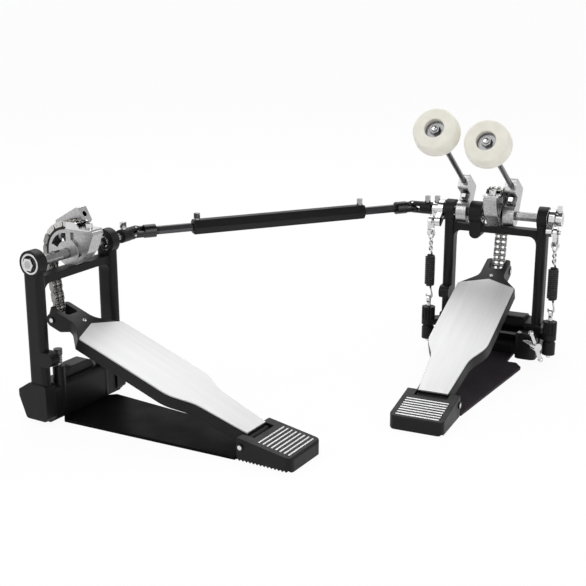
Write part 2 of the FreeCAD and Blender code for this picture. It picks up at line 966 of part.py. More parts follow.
def tread_plate():
    half = board_half_outline(tread_inset) + [(0, tread_apex_s, 0)]
    corners = half + [(-x, s, radius) for x, s, radius in reversed(half[:-1])]
    return board_prism(corners, deck_top, deck_top + tread_thickness)


def headed_pin(y, z, radius, half_length, head_radius, head_length):
    """Cross pin with a low round head at each end."""
    shapes = [cylinder(radius, V(-half_length, y, z), V(half_length, y, z))]
    head = cylinder(head_radius, V(half_length, y, z), V(half_length + head_length, y, z))
    return joined(shapes + both_sides(head))


def hinge_pins():
    heel = headed_pin(hinge_y, hinge_z, hinge_pin_radius, heel_half_width + nut_gap,
                      pin_head_radius, pin_head_length)
    toe = headed_pin(toe_pin_y, toe_pin_z, toe_pin_radius, board_neck_half_width, pin_head_radius,
                     pin_head_length)
    return group([heel, toe])


# Chain

def pin_centre(index):
    """Centre of a chain pin, counted from the toe: straight up to the cam, then round it."""
    if index <= hanging_links:
        along = index * chain_pitch
        return V(0, toe_pin_y + along * math.sin(chain_lean),
                 toe_pin_z + along * math.cos(chain_lean))
    turn = (index - hanging_links) * chain_step - chain_lean
    return on_axle(chain_radius * math.cos(turn), chain_radius * math.sin(turn))


def link_plate(start, end, low_x, high_x):
    return stadium_plate(start, end, link_height / 2, low_x, high_x)


def cross_pin(centre, radius, low_x, high_x):
    return cylinder(radius, V(low_x, centre.y, centre.z), V(high_x, centre.y, centre.z))


def outer_link(start, end, pins):
    """Three plates on the pins they share."""
    outside = link_plate(start, end, chain_half_width - plate_gauge, chain_half_width)
    plates = both_sides(outside) + [link_plate(start, end, -plate_gauge / 2, plate_gauge / 2)]
    half = chain_half_width + chain_pin_head
    return joined(plates + [cross_pin(pin, chain_pin_radius, -half, half) for pin in pins])


def inner_strand(start, end, bores):
    """One strand of an inner link: two plates and two rollers, bored for the pins."""
    low = plate_gauge / 2 + plate_gap
    high = chain_half_width - plate_gauge - plate_gap
    plates = [link_plate(start, end, low, low + plate_gauge),
              link_plate(start, end, high - plate_gauge, high)]
    rollers = [cross_pin(centre, roller_radius, low, high) for centre in (start, end)]
    holes = [cross_pin(centre, radius + fit_gap, low - overrun, high + overrun)
             for centre, radius in zip((start, end), bores)]
    return joined(plates + rollers).cut(holes)


def chain_run(first, last, leave_open=()):
    """Links from pin first to pin last; odd links are inner ones. Pins left open have no pin."""
    solids = []
    for index in range(first, last):
        start = pin_centre(index)
        end = pin_centre(index + 1)
        if index % 2:
            pins = [pin_centre(spot) for spot in (index, index + 1) if spot not in leave_open]
            solids.append(outer_link(start, end, pins))
        else:
            lower_bore = toe_pin_radius if index == 0 else chain_pin_radius
            solids += both_sides(inner_strand(start, end, (lower_bore, chain_pin_radius)))
    return group(solids)


lower_start = hanging_links
upper_start = lower_start + lower_links
fixed_start = upper_start + upper_links
fixed_end = fixed_start + fixed_links


def chain():
    return chain_run(0, hanging_links)


def chain_lower():
    return chain_run(lower_start, upper_start, leave_open=(lower_start,))


def chain_upper():
    return chain_run(upper_start, fixed_start)


def chain_wrap():
    return chain_run(fixed_start, fixed_end)


# Axles, cams and beater holders

def hex_axle(low, high):
    return hexagon(axle_across, axle_point(low), axle_point(high), V(0, 0, 1))


def hex_bore(low, high):
    return hexagon(axle_across + 2 * fit_gap, axle_point(low - overrun),
                   axle_point(high + overrun), V(0, 0, 1))


def journal(low, high):
    return cylinder(journal_radius, axle_point(low), axle_point(high))


def main_axle_shaft():
    low = split_x + split_length / 2 + collar_gap
    high = post_x - housing_length / 2 - collar_gap
    return joined([journal(split_x + collar_gap, low), hex_axle(low, high),
                   journal(high, rocker_outer_x)])


def left_axle_shaft():
    low = -post_x + housing_length / 2 + collar_gap
    high = split_x - split_length / 2 - collar_gap
    end = main_joint_x + axle_yoke_bore_start + face_gap
    return joined([journal(end, low), hex_axle(low, high), journal(high, split_x - collar_gap)])


def second_axle_shaft():
    inner = post_x - housing_length / 2 - collar_gap
    end = second_joint_x - axle_yoke_bore_start - face_gap
    nut_end = post_x + housing_length / 2 + end_nut_height
    return joined([journal(-nut_end, -inner), hex_axle(-inner, inner), journal(inner, end)])


def sector(outer, inner, low_deg, high_deg):
    """Part of a ring round the axle, as wide as the cam."""
    spots = {}
    for radius in (outer, inner):
        for name, angle in (("low", low_deg), ("mid", (low_deg + high_deg) / 2),
                            ("high", high_deg)):
            turn = math.radians(angle)
            spots[radius, name] = on_axle(radius * math.cos(turn), radius * math.sin(turn),
                                          -cam_half_width)
    wire = Part.Wire([
        Part.Arc(spots[outer, "low"], spots[outer, "mid"], spots[outer, "high"]).toShape(),
        Part.makeLine(spots[outer, "high"], spots[inner, "high"]),
        Part.Arc(spots[inner, "high"], spots[inner, "mid"], spots[inner, "low"]).toShape(),
        Part.makeLine(spots[inner, "low"], spots[outer, "low"]),
    ])
    return Part.Face(wire).extrude(V(2 * cam_half_width, 0, 0))


def cam_back(inset, low_x, high_x):
    """Solid rear part of the cam, with the land that the chain clip sits on."""
    return side_prism([
        (0, axle_height + cam_land - inset, 0),
        (cam_back_y + inset, axle_height + cam_land - inset, cam_edge_radius),
        (cam_back_y + inset, axle_height + cam_back_z - 2 * inset, cam_edge_radius / 2),
        (cam_belly_y + inset, axle_height + cam_belly_z, cam_belly_radius),
        (cam_heel_y + inset, axle_height + cam_heel_z + inset, cam_edge_radius),
        (0, axle_height + cam_heel_z + inset, 0),
    ], low_x, high_x)


def cam_pocket():
    """Shallow recess in the side of the rear part, clear of the hub."""
    pocket = cam_back(cam_pocket_wall, cam_half_width - cam_pocket_depth, cam_half_width + overrun)
    guard = cylinder(cam_hub_radius + cam_pocket_wall, axle_point(0),
                     axle_point(cam_half_width + 2 * overrun))
    front = block(on_axle(-cam_hub_radius / 2, -cam_rim_radius),
                  on_axle(cam_rim_radius, 2 * cam_rim_radius, post_x))
    return pocket.cut([guard, front])


def cam():
    rim = sector(cam_rim_radius, cam_rim_radius - cam_rim_wall, cam_rim_low_deg, cam_rim_high_deg)
    spoke = sector(cam_rim_radius - cam_rim_wall / 2, cam_hub_radius / 2,
                   cam_spoke_low_deg, cam_spoke_high_deg)
    hub = cylinder(cam_hub_radius, axle_point(-cam_half_width), axle_point(cam_half_width))
    back = cam_back(0, -cam_half_width, cam_half_width)
    screw_low = on_axle(clip_screw_y, cam_land - clip_screw_height)
    screw_hole = cylinder(clip_socket_radius + fit_gap, screw_low,
                          on_axle(clip_screw_y, cam_land + overrun))
    body = joined([rim, spoke, hub, back])
    return body.cut([hex_bore(-cam_half_width, cam_half_width),
                     screw_hole] + both_sides(cam_pocket()))


def chain_clip():
    """Bracket screwed to the cam's land, with a cheek each side of the chain's end."""
    outside = cam_half_width + fit_gap + clip_gauge
    foot_low = axle_height + cam_land
    foot = block(V(-outside, clip_rear, foot_low),
                 V(outside, clip_cheek_rear, foot_low + clip_gauge))
    cheek = side_prism([
        (clip_rear * clip_cheek_share, foot_low, 0),
        (clip_cheek_front, foot_low, clip_gauge),
        (clip_cheek_front, foot_low + clip_height, clip_height / 2),
        (clip_cheek_rear, foot_low + clip_height, clip_height / 2),
    ], outside - clip_gauge, outside)
    hole = cylinder(clip_socket_radius + fit_gap, V(0, clip_screw_y, foot_low - overrun),
                    V(0, clip_screw_y, foot_low + clip_height))
    return joined([foot] + both_sides(cheek)).cut(hole)


def clip_screw():
    seat = axle_height + cam_land + clip_gauge
    head = cylinder(clip_screw_radius, V(0, clip_screw_y, seat),
                    V(0, clip_screw_y, seat + clip_screw_height))
    shank_low = axle_height + cam_land - clip_screw_height + fit_gap
    shank = cylinder(clip_socket_radius, V(0, clip_screw_y, shank_low), V(0, clip_screw_y, seat))
    top = seat + clip_screw_height
    socket = hexagon(clip_socket_radius * 2, V(0, clip_screw_y, top - clip_socket_depth),
                     V(0, clip_screw_y, top + overrun), V(1, 0, 0))
    return joined([head, shank]).cut(socket)


def lean_point(lean_deg, q, w, x=0):
    """Point from the axle: q square to the beater rod and w along it."""
    lean = math.radians(lean_deg)
    return on_axle(q * math.cos(lean) - w * math.sin(lean),
                   q * math.sin(lean) + w * math.cos(lean), x)


def lean_prism(lean_deg, corners, low_x, high_x):
    face = Part.Face(outline(corners, lambda q, w: lean_point(lean_deg, q, w, low_x)))
    return face.extrude(V(high_x - low_x, 0, 0))


def beater_holder(lean_deg, low_x, width):
    high_x = low_x + width
    middle = low_x + width / 2
    outer_q = rod_offset + holder_block_wall
    inner_q = rod_offset - holder_block_wall
    body = lean_prism(lean_deg, [
        (0, holder_web_low, 0),
        (outer_q, holder_web_low, holder_edge_radius),
        (outer_q, holder_block_high, holder_edge_radius),
        (inner_q, holder_block_high, holder_edge_radius),
        (inner_q, holder_web_high, holder_edge_radius / 2),
        (0, holder_web_high, 0),
    ], low_x, high_x)
    ring = cylinder(holder_ring_radius, axle_point(low_x), axle_point(high_x))
    rod_hole = cylinder(rod_radius + fit_gap,
                        lean_point(lean_deg, rod_offset, holder_web_low - overrun, middle),
                        lean_point(lean_deg, rod_offset, holder_block_high + overrun, middle))
    bolt_hole = cylinder(bolt_shank_radius + fit_gap,
                         lean_point(lean_deg, holder_bolt_offset, 0, middle),
                         lean_point(lean_deg, holder_bolt_offset, holder_web_high + overrun,
                                    middle))
    return joined([body, ring]).cut([rod_hole, bolt_hole, hex_bore(low_x, high_x)])


def key_bolt(seat, axis, depth):
    """Drum-key bolt: square head on a round flange, its shank sunk by the given depth."""
    side = V(1, 0, 0) if abs(axis.x) < abs(axis.z) + abs(axis.y) else V(0, 1, 0)
    flange_top = seat + axis * bolt_flange_height
    shank = cylinder(bolt_shank_radius, seat - axis * depth, seat)
    flange = cylinder(bolt_flange_radius, seat, flange_top)
    half = bolt_head_across / 2
    other = axis.cross(side)
    corners = [flange_top + side * (half * a) + other * (half * b)
               for a, b in ((1, 1), (-1, 1), (-1, -1), (1, -1), (1, 1))]
    head = Part.Face(Part.makePolygon(corners)).extrude(axis * bolt_head_height)
    return joined([shank, flange, head])


def holder_bolt(lean_deg, low_x, width):
    middle = low_x + width / 2
    seat = lean_point(lean_deg, holder_bolt_offset, holder_web_high, middle)
    axis = (lean_point(lean_deg, holder_bolt_offset, holder_block_high, middle) - seat).normalize()
    return key_bolt(seat, axis, holder_web_high - face_gap)


def rod_span(lean_deg, x, low_w, high_w):
    return lean_point(lean_deg, rod_offset, low_w, x), lean_point(lean_deg, rod_offset, high_w, x)


def beater_rod(lean_deg, x, reach):
    """Rod with the cup washer and nut that hold the head."""
    low, high = rod_span(lean_deg, x, holder_web_low - rod_tail, reach)
    axis = (high - low).normalize()
    rod = cylinder(rod_radius, low, high)
    bowl = high - axis * (head_bowl_depth - cup_gap)
    washer = cylinder(head_bowl_radius - cup_gap, bowl, bowl + axis * cup_gauge)
    nut_low = bowl + axis * cup_gauge
    nut = hexagon(beater_nut_across, nut_low, nut_low + axis * beater_nut_height, V(1, 0, 0))
    return joined([rod, washer, nut])


def beater_head(lean_deg, x, reach):
    """Felt head: a drum that swells from the rod side to a rounded striking edge."""
    low, high = rod_span(lean_deg, x, reach - head_length, reach)
    axis = (high - low).normalize()
    inner = rod_radius + fit_gap
    side = V(1, 0, 0)
    corners = [
        (inner, 0, 0),
        (head_neck_radius, 0, head_neck_edge_radius),
        (head_radius, head_length * head_full_share, head_radius / 2),
        (head_radius, head_length, head_edge_radius),
        (head_bowl_radius, head_length, cup_gauge),
        (head_bowl_radius, head_length - head_bowl_depth, 0),
        (inner, head_length - head_bowl_depth, 0),
    ]
    face = Part.Face(outline(corners, lambda r, w: low + side * r + axis * w))
    return face.revolve(low, axis, 360)


main_rod_x = holder_low_x + holder_width / 2
left_holder_low_x = left_holder_x - left_holder_width / 2


# Rockers, ring links, springs and adjusters

def rocker():
    """Stepped hub on the axle's end, with an arm and a pin for the ring link."""
    hub = cylinder(rocker_hub_radius, axle_point(rocker_inner_x), axle_point(rocker_step_x))
    end = cylinder(rocker_end_radius, axle_point(rocker_step_x), axle_point(rocker_outer_x))
    arm = stadium_plate(axle_point(0), V(0, rocker_pin_y, rocker_pin_z), rocker_arm_radius,
                        rocker_inner_x, rocker_step_x)
    pin = cross_pin(V(0, rocker_pin_y, rocker_pin_z), rocker_pin_radius, rocker_step_x,
                    rocker_pin_end_x)
    bore = cylinder(journal_radius + fit_gap, axle_point(rocker_inner_x - overrun),
                    axle_point(rocker_outer_x + overrun))
    bolt_x = (rocker_step_x + rocker_outer_x) / 2
    bolt_hole = cylinder(bolt_shank_radius + fit_gap, axle_point(bolt_x),
                         on_axle(0, rocker_hub_radius, bolt_x))
    return joined([hub, end, arm, pin]).cut([bore, bolt_hole])


def rocker_bolt():
    bolt_x = (rocker_step_x + rocker_outer_x) / 2
    return key_bolt(on_axle(0, rocker_end_radius, bolt_x), V(0, 0, 1),
                    rocker_end_radius - journal_radius - face_gap)


def ring_link():
    """Oval ring that hangs on the rocker's pin."""
    hole_radius = ring_hole_width / 2
    low = V(0, spring_y, ring_hole_top - ring_hole_height + hole_radius)
    high = V(0, spring_y, ring_hole_top - hole_radius)
    low_x = spring_x - ring_thickness / 2
    high_x = spring_x + ring_thickness / 2
    outer = stadium_plate(low, high, hole_radius + ring_gauge, low_x, high_x)
    return outer.cut(stadium_plate(low, high, hole_radius, low_x - overrun, high_x + overrun))


def arc_from(start, tangent, end):
    """Arc that leaves start along tangent and reaches end."""
    chord = end - start
    along = chord * (1 / chord.Length)
    bulge = tangent - along * tangent.dot(along)
    half_angle = tangent.getAngle(chord) / 2
    middle = (start + end) * 0.5 + bulge.normalize() * (chord.Length / 2 * math.tan(half_angle))
    return Part.Arc(start, middle, end).toShape()


def biarc(start, start_way, end, end_way):
    """Two arcs, tangent to each other and to the given directions."""
    span = end - start
    both = start_way + end_way
    spread = 2 * (1 - start_way.dot(end_way))
    lead = span.dot(both)
    reach = (math.sqrt(lead * lead + spread * span.dot(span)) - lead) / spread
    middle = (start + start_way * reach + end - end_way * reach) * 0.5
    return [arc_from(start, start_way, middle), arc_from(end, -end_way, middle)]


def helix_point(radius, pitch, centre, turns):
    turn = 2 * math.pi * turns
    return centre + V(radius * math.cos(turn), radius * math.sin(turn), pitch * turns)


def helix_way(radius, pitch, turns):
    turn = 2 * math.pi * turns
    way = V(-radius * math.sin(turn), radius * math.cos(turn), pitch / (2 * math.pi))
    return way.normalize()


def helix_edges(radius, pitch, centre, turns):
    """Biarcs of half a turn each."""
    edges = []
    for half in range(2 * turns):
        low = half / 2
        high = (half + 1) / 2
        edges += biarc(helix_point(radius, pitch, centre, low), helix_way(radius, pitch, low),
                       helix_point(radius, pitch, centre, high), helix_way(radius, pitch, high))
    return edges


def hook_edges(coil_end, way, axis_point, rise, bend_radius):
    """From a coil's end to a straight leg beside the axis, then over in a hook."""
    up = V(0, 0, math.copysign(1, rise))
    leg = V(axis_point.x + bend_radius, axis_point.y, coil_end.z + up.z * hook_rise)
    bend_start = V(leg.x, leg.y, axis_point.z)
    sweep = math.radians(hook_sweep_deg)
    spots = []
    for share in (0.5, 1):
        turn = sweep * share
        spots.append(axis_point + V(bend_radius * math.cos(turn), 0,
                                    up.z * bend_radius * math.sin(turn)))
    return biarc(coil_end, way, leg, up) + [
        Part.makeLine(leg, bend_start), Part.Arc(bend_start, *spots).toShape()]


def least_gap(wire, wire_radius):
    """Smallest clear distance between two stretches of a wire that aren't neighbours."""
    points = wire.discretize(Distance=wire_radius)
    spots = [(point.x, point.y, point.z) for point in points]
    least = min(math.dist(spots[a],
                          spots[b]) for a in range(len(spots)) for b in range(a + gap_neighbours,
                                  len(spots)))
    return least - 2 * wire_radius


def wire_tube(edges, wire_radius):
    path = Part.Wire(Part.__sortEdges__(edges))
    start = path.OrderedVertexes[0].Point
    first = path.OrderedEdges[0]
    way = first.tangentAt(first.FirstParameter)
    section = Part.Wire(Part.makeCircle(wire_radius, start, way))
    return path, path.makePipeShell([section], True, False)


def return_spring():
    """Close coil with a hook at each end, for the ring link above and the eye bolt below."""
    centre = V(spring_x, spring_y, coil_low)
    low_bend = eye_hook_radius()
    high_bend = ring_hook_radius()
    low_axis = V(spring_x, spring_y, eye_height + (eye_radius + eye_hole_radius) / 2)
    high_axis = V(spring_x, spring_y, ring_bar_z)
    edges = helix_edges(coil_radius, coil_pitch, centre, coil_turns)
    top = helix_point(coil_radius, coil_pitch, centre, coil_turns)
    edges += hook_edges(top, helix_way(coil_radius, coil_pitch, coil_turns), high_axis, 1,
                        high_bend)
    low_end = helix_point(coil_radius, coil_pitch, centre, 0)
    edges += hook_edges(low_end, -helix_way(coil_radius, coil_pitch, 0), low_axis, -1, low_bend)
    path, tube = wire_tube(edges, coil_wire_radius)
    gap = least_gap(path, coil_wire_radius)
    print(f"return spring: least gap {gap:.2f} mm, wire {path.Length:.0f} mm long")
    return tube


def eye_hook_radius():
    """Bend that clears the top of the eye."""
    half_wall = (eye_radius - eye_hole_radius) / 2
    return math.hypot(half_wall, eye_thickness / 2) + face_gap + coil_wire_radius


def ring_hook_radius():
    """Bend that clears the lower bar of the ring link."""
    return math.hypot(ring_gauge / 2, ring_thickness / 2) + face_gap + coil_wire_radius


def eye_bolt():
    half = eye_thickness / 2
    low = V(spring_x - half, spring_y, eye_height)
    high = V(spring_x + half, spring_y, eye_height)
    eye = cylinder(eye_radius, low, high)
    shank = cylinder(eye_shank_radius, V(spring_x, spring_y, eye_shank_low),
                     V(spring_x, spring_y, eye_height))
    step = V(overrun, 0, 0)
    return joined([eye, shank]).cut(cylinder(eye_hole_radius, low - step, high + step))


def adjust_nuts():
    """Fluted sleeve nut above the frame's lug and a shouldered nut below it."""
    bore = cylinder(eye_shank_radius + fit_gap, V(spring_x, spring_y, 0),
                    V(spring_x, spring_y, eye_height))
    upper = cylinder(upper_nut_radius, V(spring_x, spring_y, lug_high + nut_gap),
                     V(spring_x, spring_y, upper_nut_high))
    lower = cylinder(lower_nut_radius, V(spring_x, spring_y, lower_nut_low),
                     V(spring_x, spring_y, lower_nut_shoulder))
    neck_height = lug_low - nut_gap - lower_nut_shoulder
    neck = Part.makeCone(lower_nut_radius, lower_nut_neck_radius, neck_height,
                         V(spring_x, spring_y, lower_nut_shoulder))
    flutes = []
    for index in range(nut_flute_count):
        turn = 2 * math.pi * index / nut_flute_count
        spot = V(spring_x + upper_nut_radius * math.cos(turn),
                 spring_y + upper_nut_radius * math.sin(turn), 0)
        flutes.append(cylinder(nut_flute_radius, spot, spot + V(0, 0, upper_nut_high + overrun)))
    return group([upper.cut([bore] + flutes), joined([lower, neck]).cut(bore)])


# Universal joints and drive shaft

def yoke(length, bore_start, pin_gap):
    """Fork in its own frame: the joint's centre at the origin, the body along +Z, pins along X."""
    body = cylinder(yoke_radius, V(0, 0, -yoke_ear_half), V(0, 0, length))
    wide = yoke_radius + overrun
    slot = block(V(-yoke_slot_half, -wide, -wide), V(yoke_slot_half, wide, yoke_slot_depth))
    side = block(V(-wide, yoke_ear_half, -wide), V(wide, wide, yoke_slot_depth))
    other_side = block(V(-wide, -wide, -wide), V(wide, -yoke_ear_half, yoke_slot_depth))
    tip = block(V(-wide, -wide, -wide), V(wide, wide, 0)).cut(
        cylinder(yoke_ear_half, V(-2 * wide, 0, 0), V(2 * wide, 0, 0)))
    holes = [cylinder(joint_pin_radius + pin_gap, V(-wide, 0, 0), V(wide, 0, 0))]
    if bore_start:
        holes.append(cylinder(journal_radius + fit_gap, V(0, 0, bore_start),
                              V(0, 0, length + overrun)))
    return body.cut([slot, side, other_side, tip] + holes)


def turned(vector, axis, angle):
    return FreeCAD.Rotation(axis, math.degrees(angle)).multVec(vector)


def joint_axes(outward, half_stroke):
    """Pin directions at rest for a joint whose axle points outward, and the shaft's own pins."""
    axle_pins = turned(V(0, 0, 1), outward, -half_stroke)
    shaft_pins = shaft_axis.cross(axle_pins).normalize()
    return axle_pins, shaft_pins


main_pins, main_shaft_pins = joint_axes(V(-1, 0, 0), stroke / 2)
second_pins, second_shaft_pins = joint_axes(-second_axis, second_stroke / 2)


def axle_yoke(centre, toward_axle, pins):
    """Yoke on an axle's end, with the hole for its key bolt."""
    place = axes_placement(centre, pins, toward_axle)
    body = placed(yoke(axle_yoke_length, axle_yoke_bore_start, fit_gap), place)
    spot = centre + toward_axle * ((axle_yoke_bore_start + axle_yoke_length) / 2)
    hole = cylinder(bolt_shank_radius + fit_gap, spot, spot + V(0, 0, yoke_radius + overrun))
    return body.cut(hole)


def yoke_bolt(centre, toward_axle):
    spot = centre + toward_axle * ((axle_yoke_bore_start + axle_yoke_length) / 2)
    return key_bolt(spot + V(0, 0, yoke_radius), V(0, 0, 1),
                    yoke_radius - journal_radius - face_gap)


def joint_cross(centre, first, second):
    half = yoke_radius - joint_pin_end_gap
    pins = [cylinder(joint_pin_radius, centre - way * half, centre + way * half) for way in (first,
            second)]
    low = V(-joint_block_half, -joint_block_half, -joint_block_depth_half)
    body = placed(block(low, -low), axes_placement(centre, first, first.cross(second)))
    return joined([body] + pins)


def shaft_half(centre, outward, pins, sink):
    """Shaft yoke with the hexagonal rod that goes into the tube."""
    place = axes_placement(centre, pins, outward)
    fork = placed(yoke(shaft_yoke_length, 0, joint_pin_gap), place)
    start = centre + outward * (shaft_yoke_length - overrun)
    end = centre + outward * (tube_start + sink)
    return joined([fork, hexagon(rod_across, start, end, V(0, 0, 1))])


def main_shaft_rod():
    return shaft_half(main_joint, shaft_axis, main_shaft_pins, rod_engagement)


def second_shaft_rod():
    return shaft_half(second_joint, -shaft_axis, second_shaft_pins, rod_engagement)


def tube_ends():
    return main_joint + shaft_axis * tube_start, second_joint - shaft_axis * tube_start


def tube_bolt_spots():
    low, high = tube_ends()
    return [low + shaft_axis * tube_bolt_inset, high - shaft_axis * tube_bolt_inset]


def shaft_tube():
    low, high = tube_ends()
    body = hexagon(tube_across, low, high, V(0, 0, 1))
    ends = [edge for edge in body.Edges if abs(edge.tangentAt(edge.FirstParameter).dot(shaft_axis)) < fit_gap]
    body = body.makeChamfer(tube_chamfer, ends)
    step = shaft_axis * overrun
    bore = hexagon(rod_across + 2 * fit_gap, low - step, high + step, V(0, 0, 1))
    holes = [cylinder(bolt_shank_radius + fit_gap, spot,
                      spot + V(0, 0, tube_across)) for spot in tube_bolt_spots()]
    return body.cut([bore] + holes)


def shaft_bolts():
    depth = (tube_across - rod_across) / 2 - face_gap
    return group([key_bolt(spot + V(0, 0, tube_across / 2), V(0, 0, 1),
                           depth) for spot in tube_bolt_spots()])


# Groups of small fasteners, one for each turning body

def main_axle_bolts():
    return group([holder_bolt(main_lean_deg, holder_low_x, holder_width), rocker_bolt(),
                  chain_clip(), clip_screw()])


def left_axle_bolts():
    return group([holder_bolt(left_lean_deg, left_holder_low_x, left_holder_width),
                  mirrored(rocker_bolt()),
                  yoke_bolt(main_joint, V(1, 0, 0))])


def second_axle_bolts():
    """Built in place, so the pedal's own pieces are set there first."""
    low = -post_x - housing_length / 2 - end_nut_height
    nut = hexagon(end_nut_across, axle_point(low), axle_point(low + end_nut_height - face_gap),
                  V(0, 0, 1))
    nut = nut.cut(journal(low - overrun, 0))
    own = [holder_bolt(main_lean_deg, holder_low_x, holder_width), chain_clip(), clip_screw(), nut]
    return group([placed(piece, second_place) for piece in own] + [yoke_bolt(second_joint,
            -second_axis)])


# Hoop clamp

def clamp_jaw():
    """Arched lever on two trunnions, with a nose over the hoop."""
    profile = [
        (jaw_tail_y, jaw_tail_low, jaw_edge_radius),
        (jaw_tail_y, jaw_top, jaw_edge_radius),
        (jaw_pivot_y, jaw_top, jaw_crown_radius),
        (jaw_nose_root_y, jaw_nose_top, jaw_crown_radius),
        (jaw_nose_y, jaw_nose_top, jaw_edge_radius),
        (jaw_nose_y, jaw_nose_low, jaw_edge_radius),
        (jaw_nose_root_y, jaw_nose_low, 0),
        (jaw_pivot_y, jaw_under, jaw_edge_radius),
    ]
    body = side_prism(profile, -jaw_half_width, jaw_half_width)
    plan = flat_prism(symmetric([
        (jaw_half_width + overrun, jaw_tail_y - overrun, 0),
        (jaw_half_width + overrun, jaw_pivot_y + foot_rear, jaw_side_radius),
        (jaw_nose_half_width, jaw_nose_root_y, jaw_side_radius),
        (jaw_nose_half_width, jaw_nose_y + overrun, 0),
    ]), 0, jaw_top + overrun)
    reach = jaw_half_width + jaw_pin_length
    pins = cylinder(jaw_pin_radius, V(-reach, jaw_pivot_y, jaw_pivot_z),
                    V(reach, jaw_pivot_y, jaw_pivot_z))
    return joined([body.common(plan), pins])


def clamp_wing_bolt():
    """Bolt with a cross bar, its shank in the block beside the right post."""
    axis = wing_axis()
    start = V(wing_start_x, wing_start_y, wing_bolt_height)
    hub_low = start + axis * wing_shank_length
    hub_high = hub_low + axis * wing_hub_length
    bar_centre = hub_low + axis * (wing_hub_length / 2)
    level = V(0, 0, 1).cross(axis)
    rest = math.radians(wing_rest_deg)
    way = V(0, 0, 1) * math.cos(rest) + level * -math.sin(rest)
    ends = [bar_centre - way * (wing_bar_length / 2), bar_centre + way * (wing_bar_length / 2)]
    return joined([
        cylinder(wing_shank_radius, start, hub_low),
        cylinder(wing_hub_radius, hub_low, hub_high),
        cylinder(wing_bar_radius, ends[0], ends[1]),
    ] + [Part.makeSphere(wing_tip_radius, end) for end in ends])


# Spur bolts of the second pedal

def spur(x):
    """Spring-loaded bolt with a pointed end that grips the floor."""
    tip_high = spur_tip_low + spur_tip_length
    tip = Part.makeCone(0, spur_radius, spur_tip_length, V(x, spur_y, spur_tip_low))
    shank = cylinder(spur_radius, V(x, spur_y, tip_high), V(x, spur_y, spur_head_low))
    head = cylinder(spur_head_radius, V(x, spur_y, spur_head_low), V(x, spur_y, spur_head_high))
    return joined([tip, shank, head])


def spur_coil(x):
    radius = spur_radius + spur_coil_wire_radius + face_gap
    room = spur_head_low - spur_boss_top - 2 * (spur_coil_wire_radius + face_gap)
    pitch = room / spur_coil_turns
    centre = V(x, spur_y, spur_boss_top + spur_coil_wire_radius + face_gap)
    return wire_tube(helix_edges(radius, pitch, centre, spur_coil_turns), spur_coil_wire_radius)[1]


def second_spurs():
    pieces = []
    for x in (-spur_x, spur_x):
        pieces += [spur(x), spur_coil(x)]
    return group(pieces)


def main_nodes():
    spring = return_spring()
    left_nodes = {
        "left_return_spring": mirrored(spring),
        "left_spring_link": mirrored(ring_link()),
        "left_adjust_nuts": mirrored(adjust_nuts()),
        "left_rocker": mirrored(rocker()),
    }
    return left_nodes | {
        "main_base_plate": main_base_plate(),
        "main_frame": main_frame(),
        "main_bearings": main_bearings(),
        "main_heel_block": heel_block(),
        "main_heel_grips": heel_grips(),
        "spring_eye_bolts": group(both_sides(eye_bolt())),
        "right_return_spring": spring,
        "right_spring_link": ring_link(),
        "right_adjust_nuts": adjust_nuts(),
        "clamp_jaw": clamp_jaw(),
        "clamp_wing_bolt": clamp_wing_bolt(),
        "main_axle_shaft": main_axle_shaft(),
        "main_cam": cam(),
        "main_chain_wrap": chain_wrap(),
        "main_chain_upper": chain_upper(),
        "main_chain_lower": chain_lower(),
        "main_chain": chain(),
        "main_beater_holder": beater_holder(main_lean_deg, holder_low_x, holder_width),
        "main_beater_rod": beater_rod(main_lean_deg, main_rod_x, main_beater_reach),
        "main_beater_head": beater_head(main_lean_deg, main_rod_x, main_beater_reach),
        "right_rocker": rocker(),
        "main_axle_bolts": main_axle_bolts(),
        "main_footboard": footboard(),
        "main_tread_plate": tread_plate(),
        "main_hinge_pins": hinge_pins(),
        "left_axle_shaft": left_axle_shaft(),
        "left_beater_holder": beater_holder(left_lean_deg, left_holder_low_x, left_holder_width),
        "left_beater_rod": beater_rod(left_lean_deg, left_holder_x, left_beater_reach),
        "left_beater_head": beater_head(left_lean_deg, left_holder_x, left_beater_reach),
        "left_axle_bolts": left_axle_bolts(),
        "main_axle_yoke": axle_yoke(main_joint, V(1, 0, 0), main_pins),
        "main_joint_cross": joint_cross(main_joint, main_pins, main_shaft_pins),
    }


def shaft_nodes():
    return {
        "main_shaft_rod": main_shaft_rod(),
        "shaft_tube": shaft_tube(),
        "shaft_bolts": shaft_bolts(),
        "second_shaft_rod": second_shaft_rod(),
        "second_axle_yoke": axle_yoke(second_joint, -second_axis, second_pins),
        "second_joint_cross": joint_cross(second_joint, second_pins, second_shaft_pins),
        "second_axle_bolts": second_axle_bolts(),
    }


def second_nodes():
    own = {
        "second_base_plate": second_base_plate(),
        "second_frame": second_frame(),
        "second_bearings": second_bearings(),
        "second_heel_block": heel_block(),
        "second_heel_grips": heel_grips(),
        "second_spurs": second_spurs(),
        "second_axle_shaft": second_axle_shaft(),
        "second_cam": cam(),
        "second_chain_wrap": chain_wrap(),
        "second_chain_upper": chain_upper(),
        "second_chain_lower": chain_lower(),
        "second_chain": chain(),
        "second_beater_holder": beater_holder(main_lean_deg, holder_low_x, holder_width),
        "second_footboard": footboard(),
        "second_tread_plate": tread_plate(),
        "second_hinge_pins": hinge_pins(),
    }
    return {name: placed(shape, second_place) for name, shape in own.items()}


def main():
    os.makedirs("parts", exist_ok=True)
    nodes = main_nodes() | shaft_nodes() | second_nodes()
    for name, shape in nodes.items():
        shape.exportStep("parts/" + name + ".step")
    print(len(nodes), "nodes,", sum(len(shape.Solids) for shape in nodes.values()), "solids")


if __name__ == "__main__":
    main()
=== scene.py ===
"""Looks of a double bass drum pedal: finishes, felt, springs, small fittings and the studio."""
import json
import math

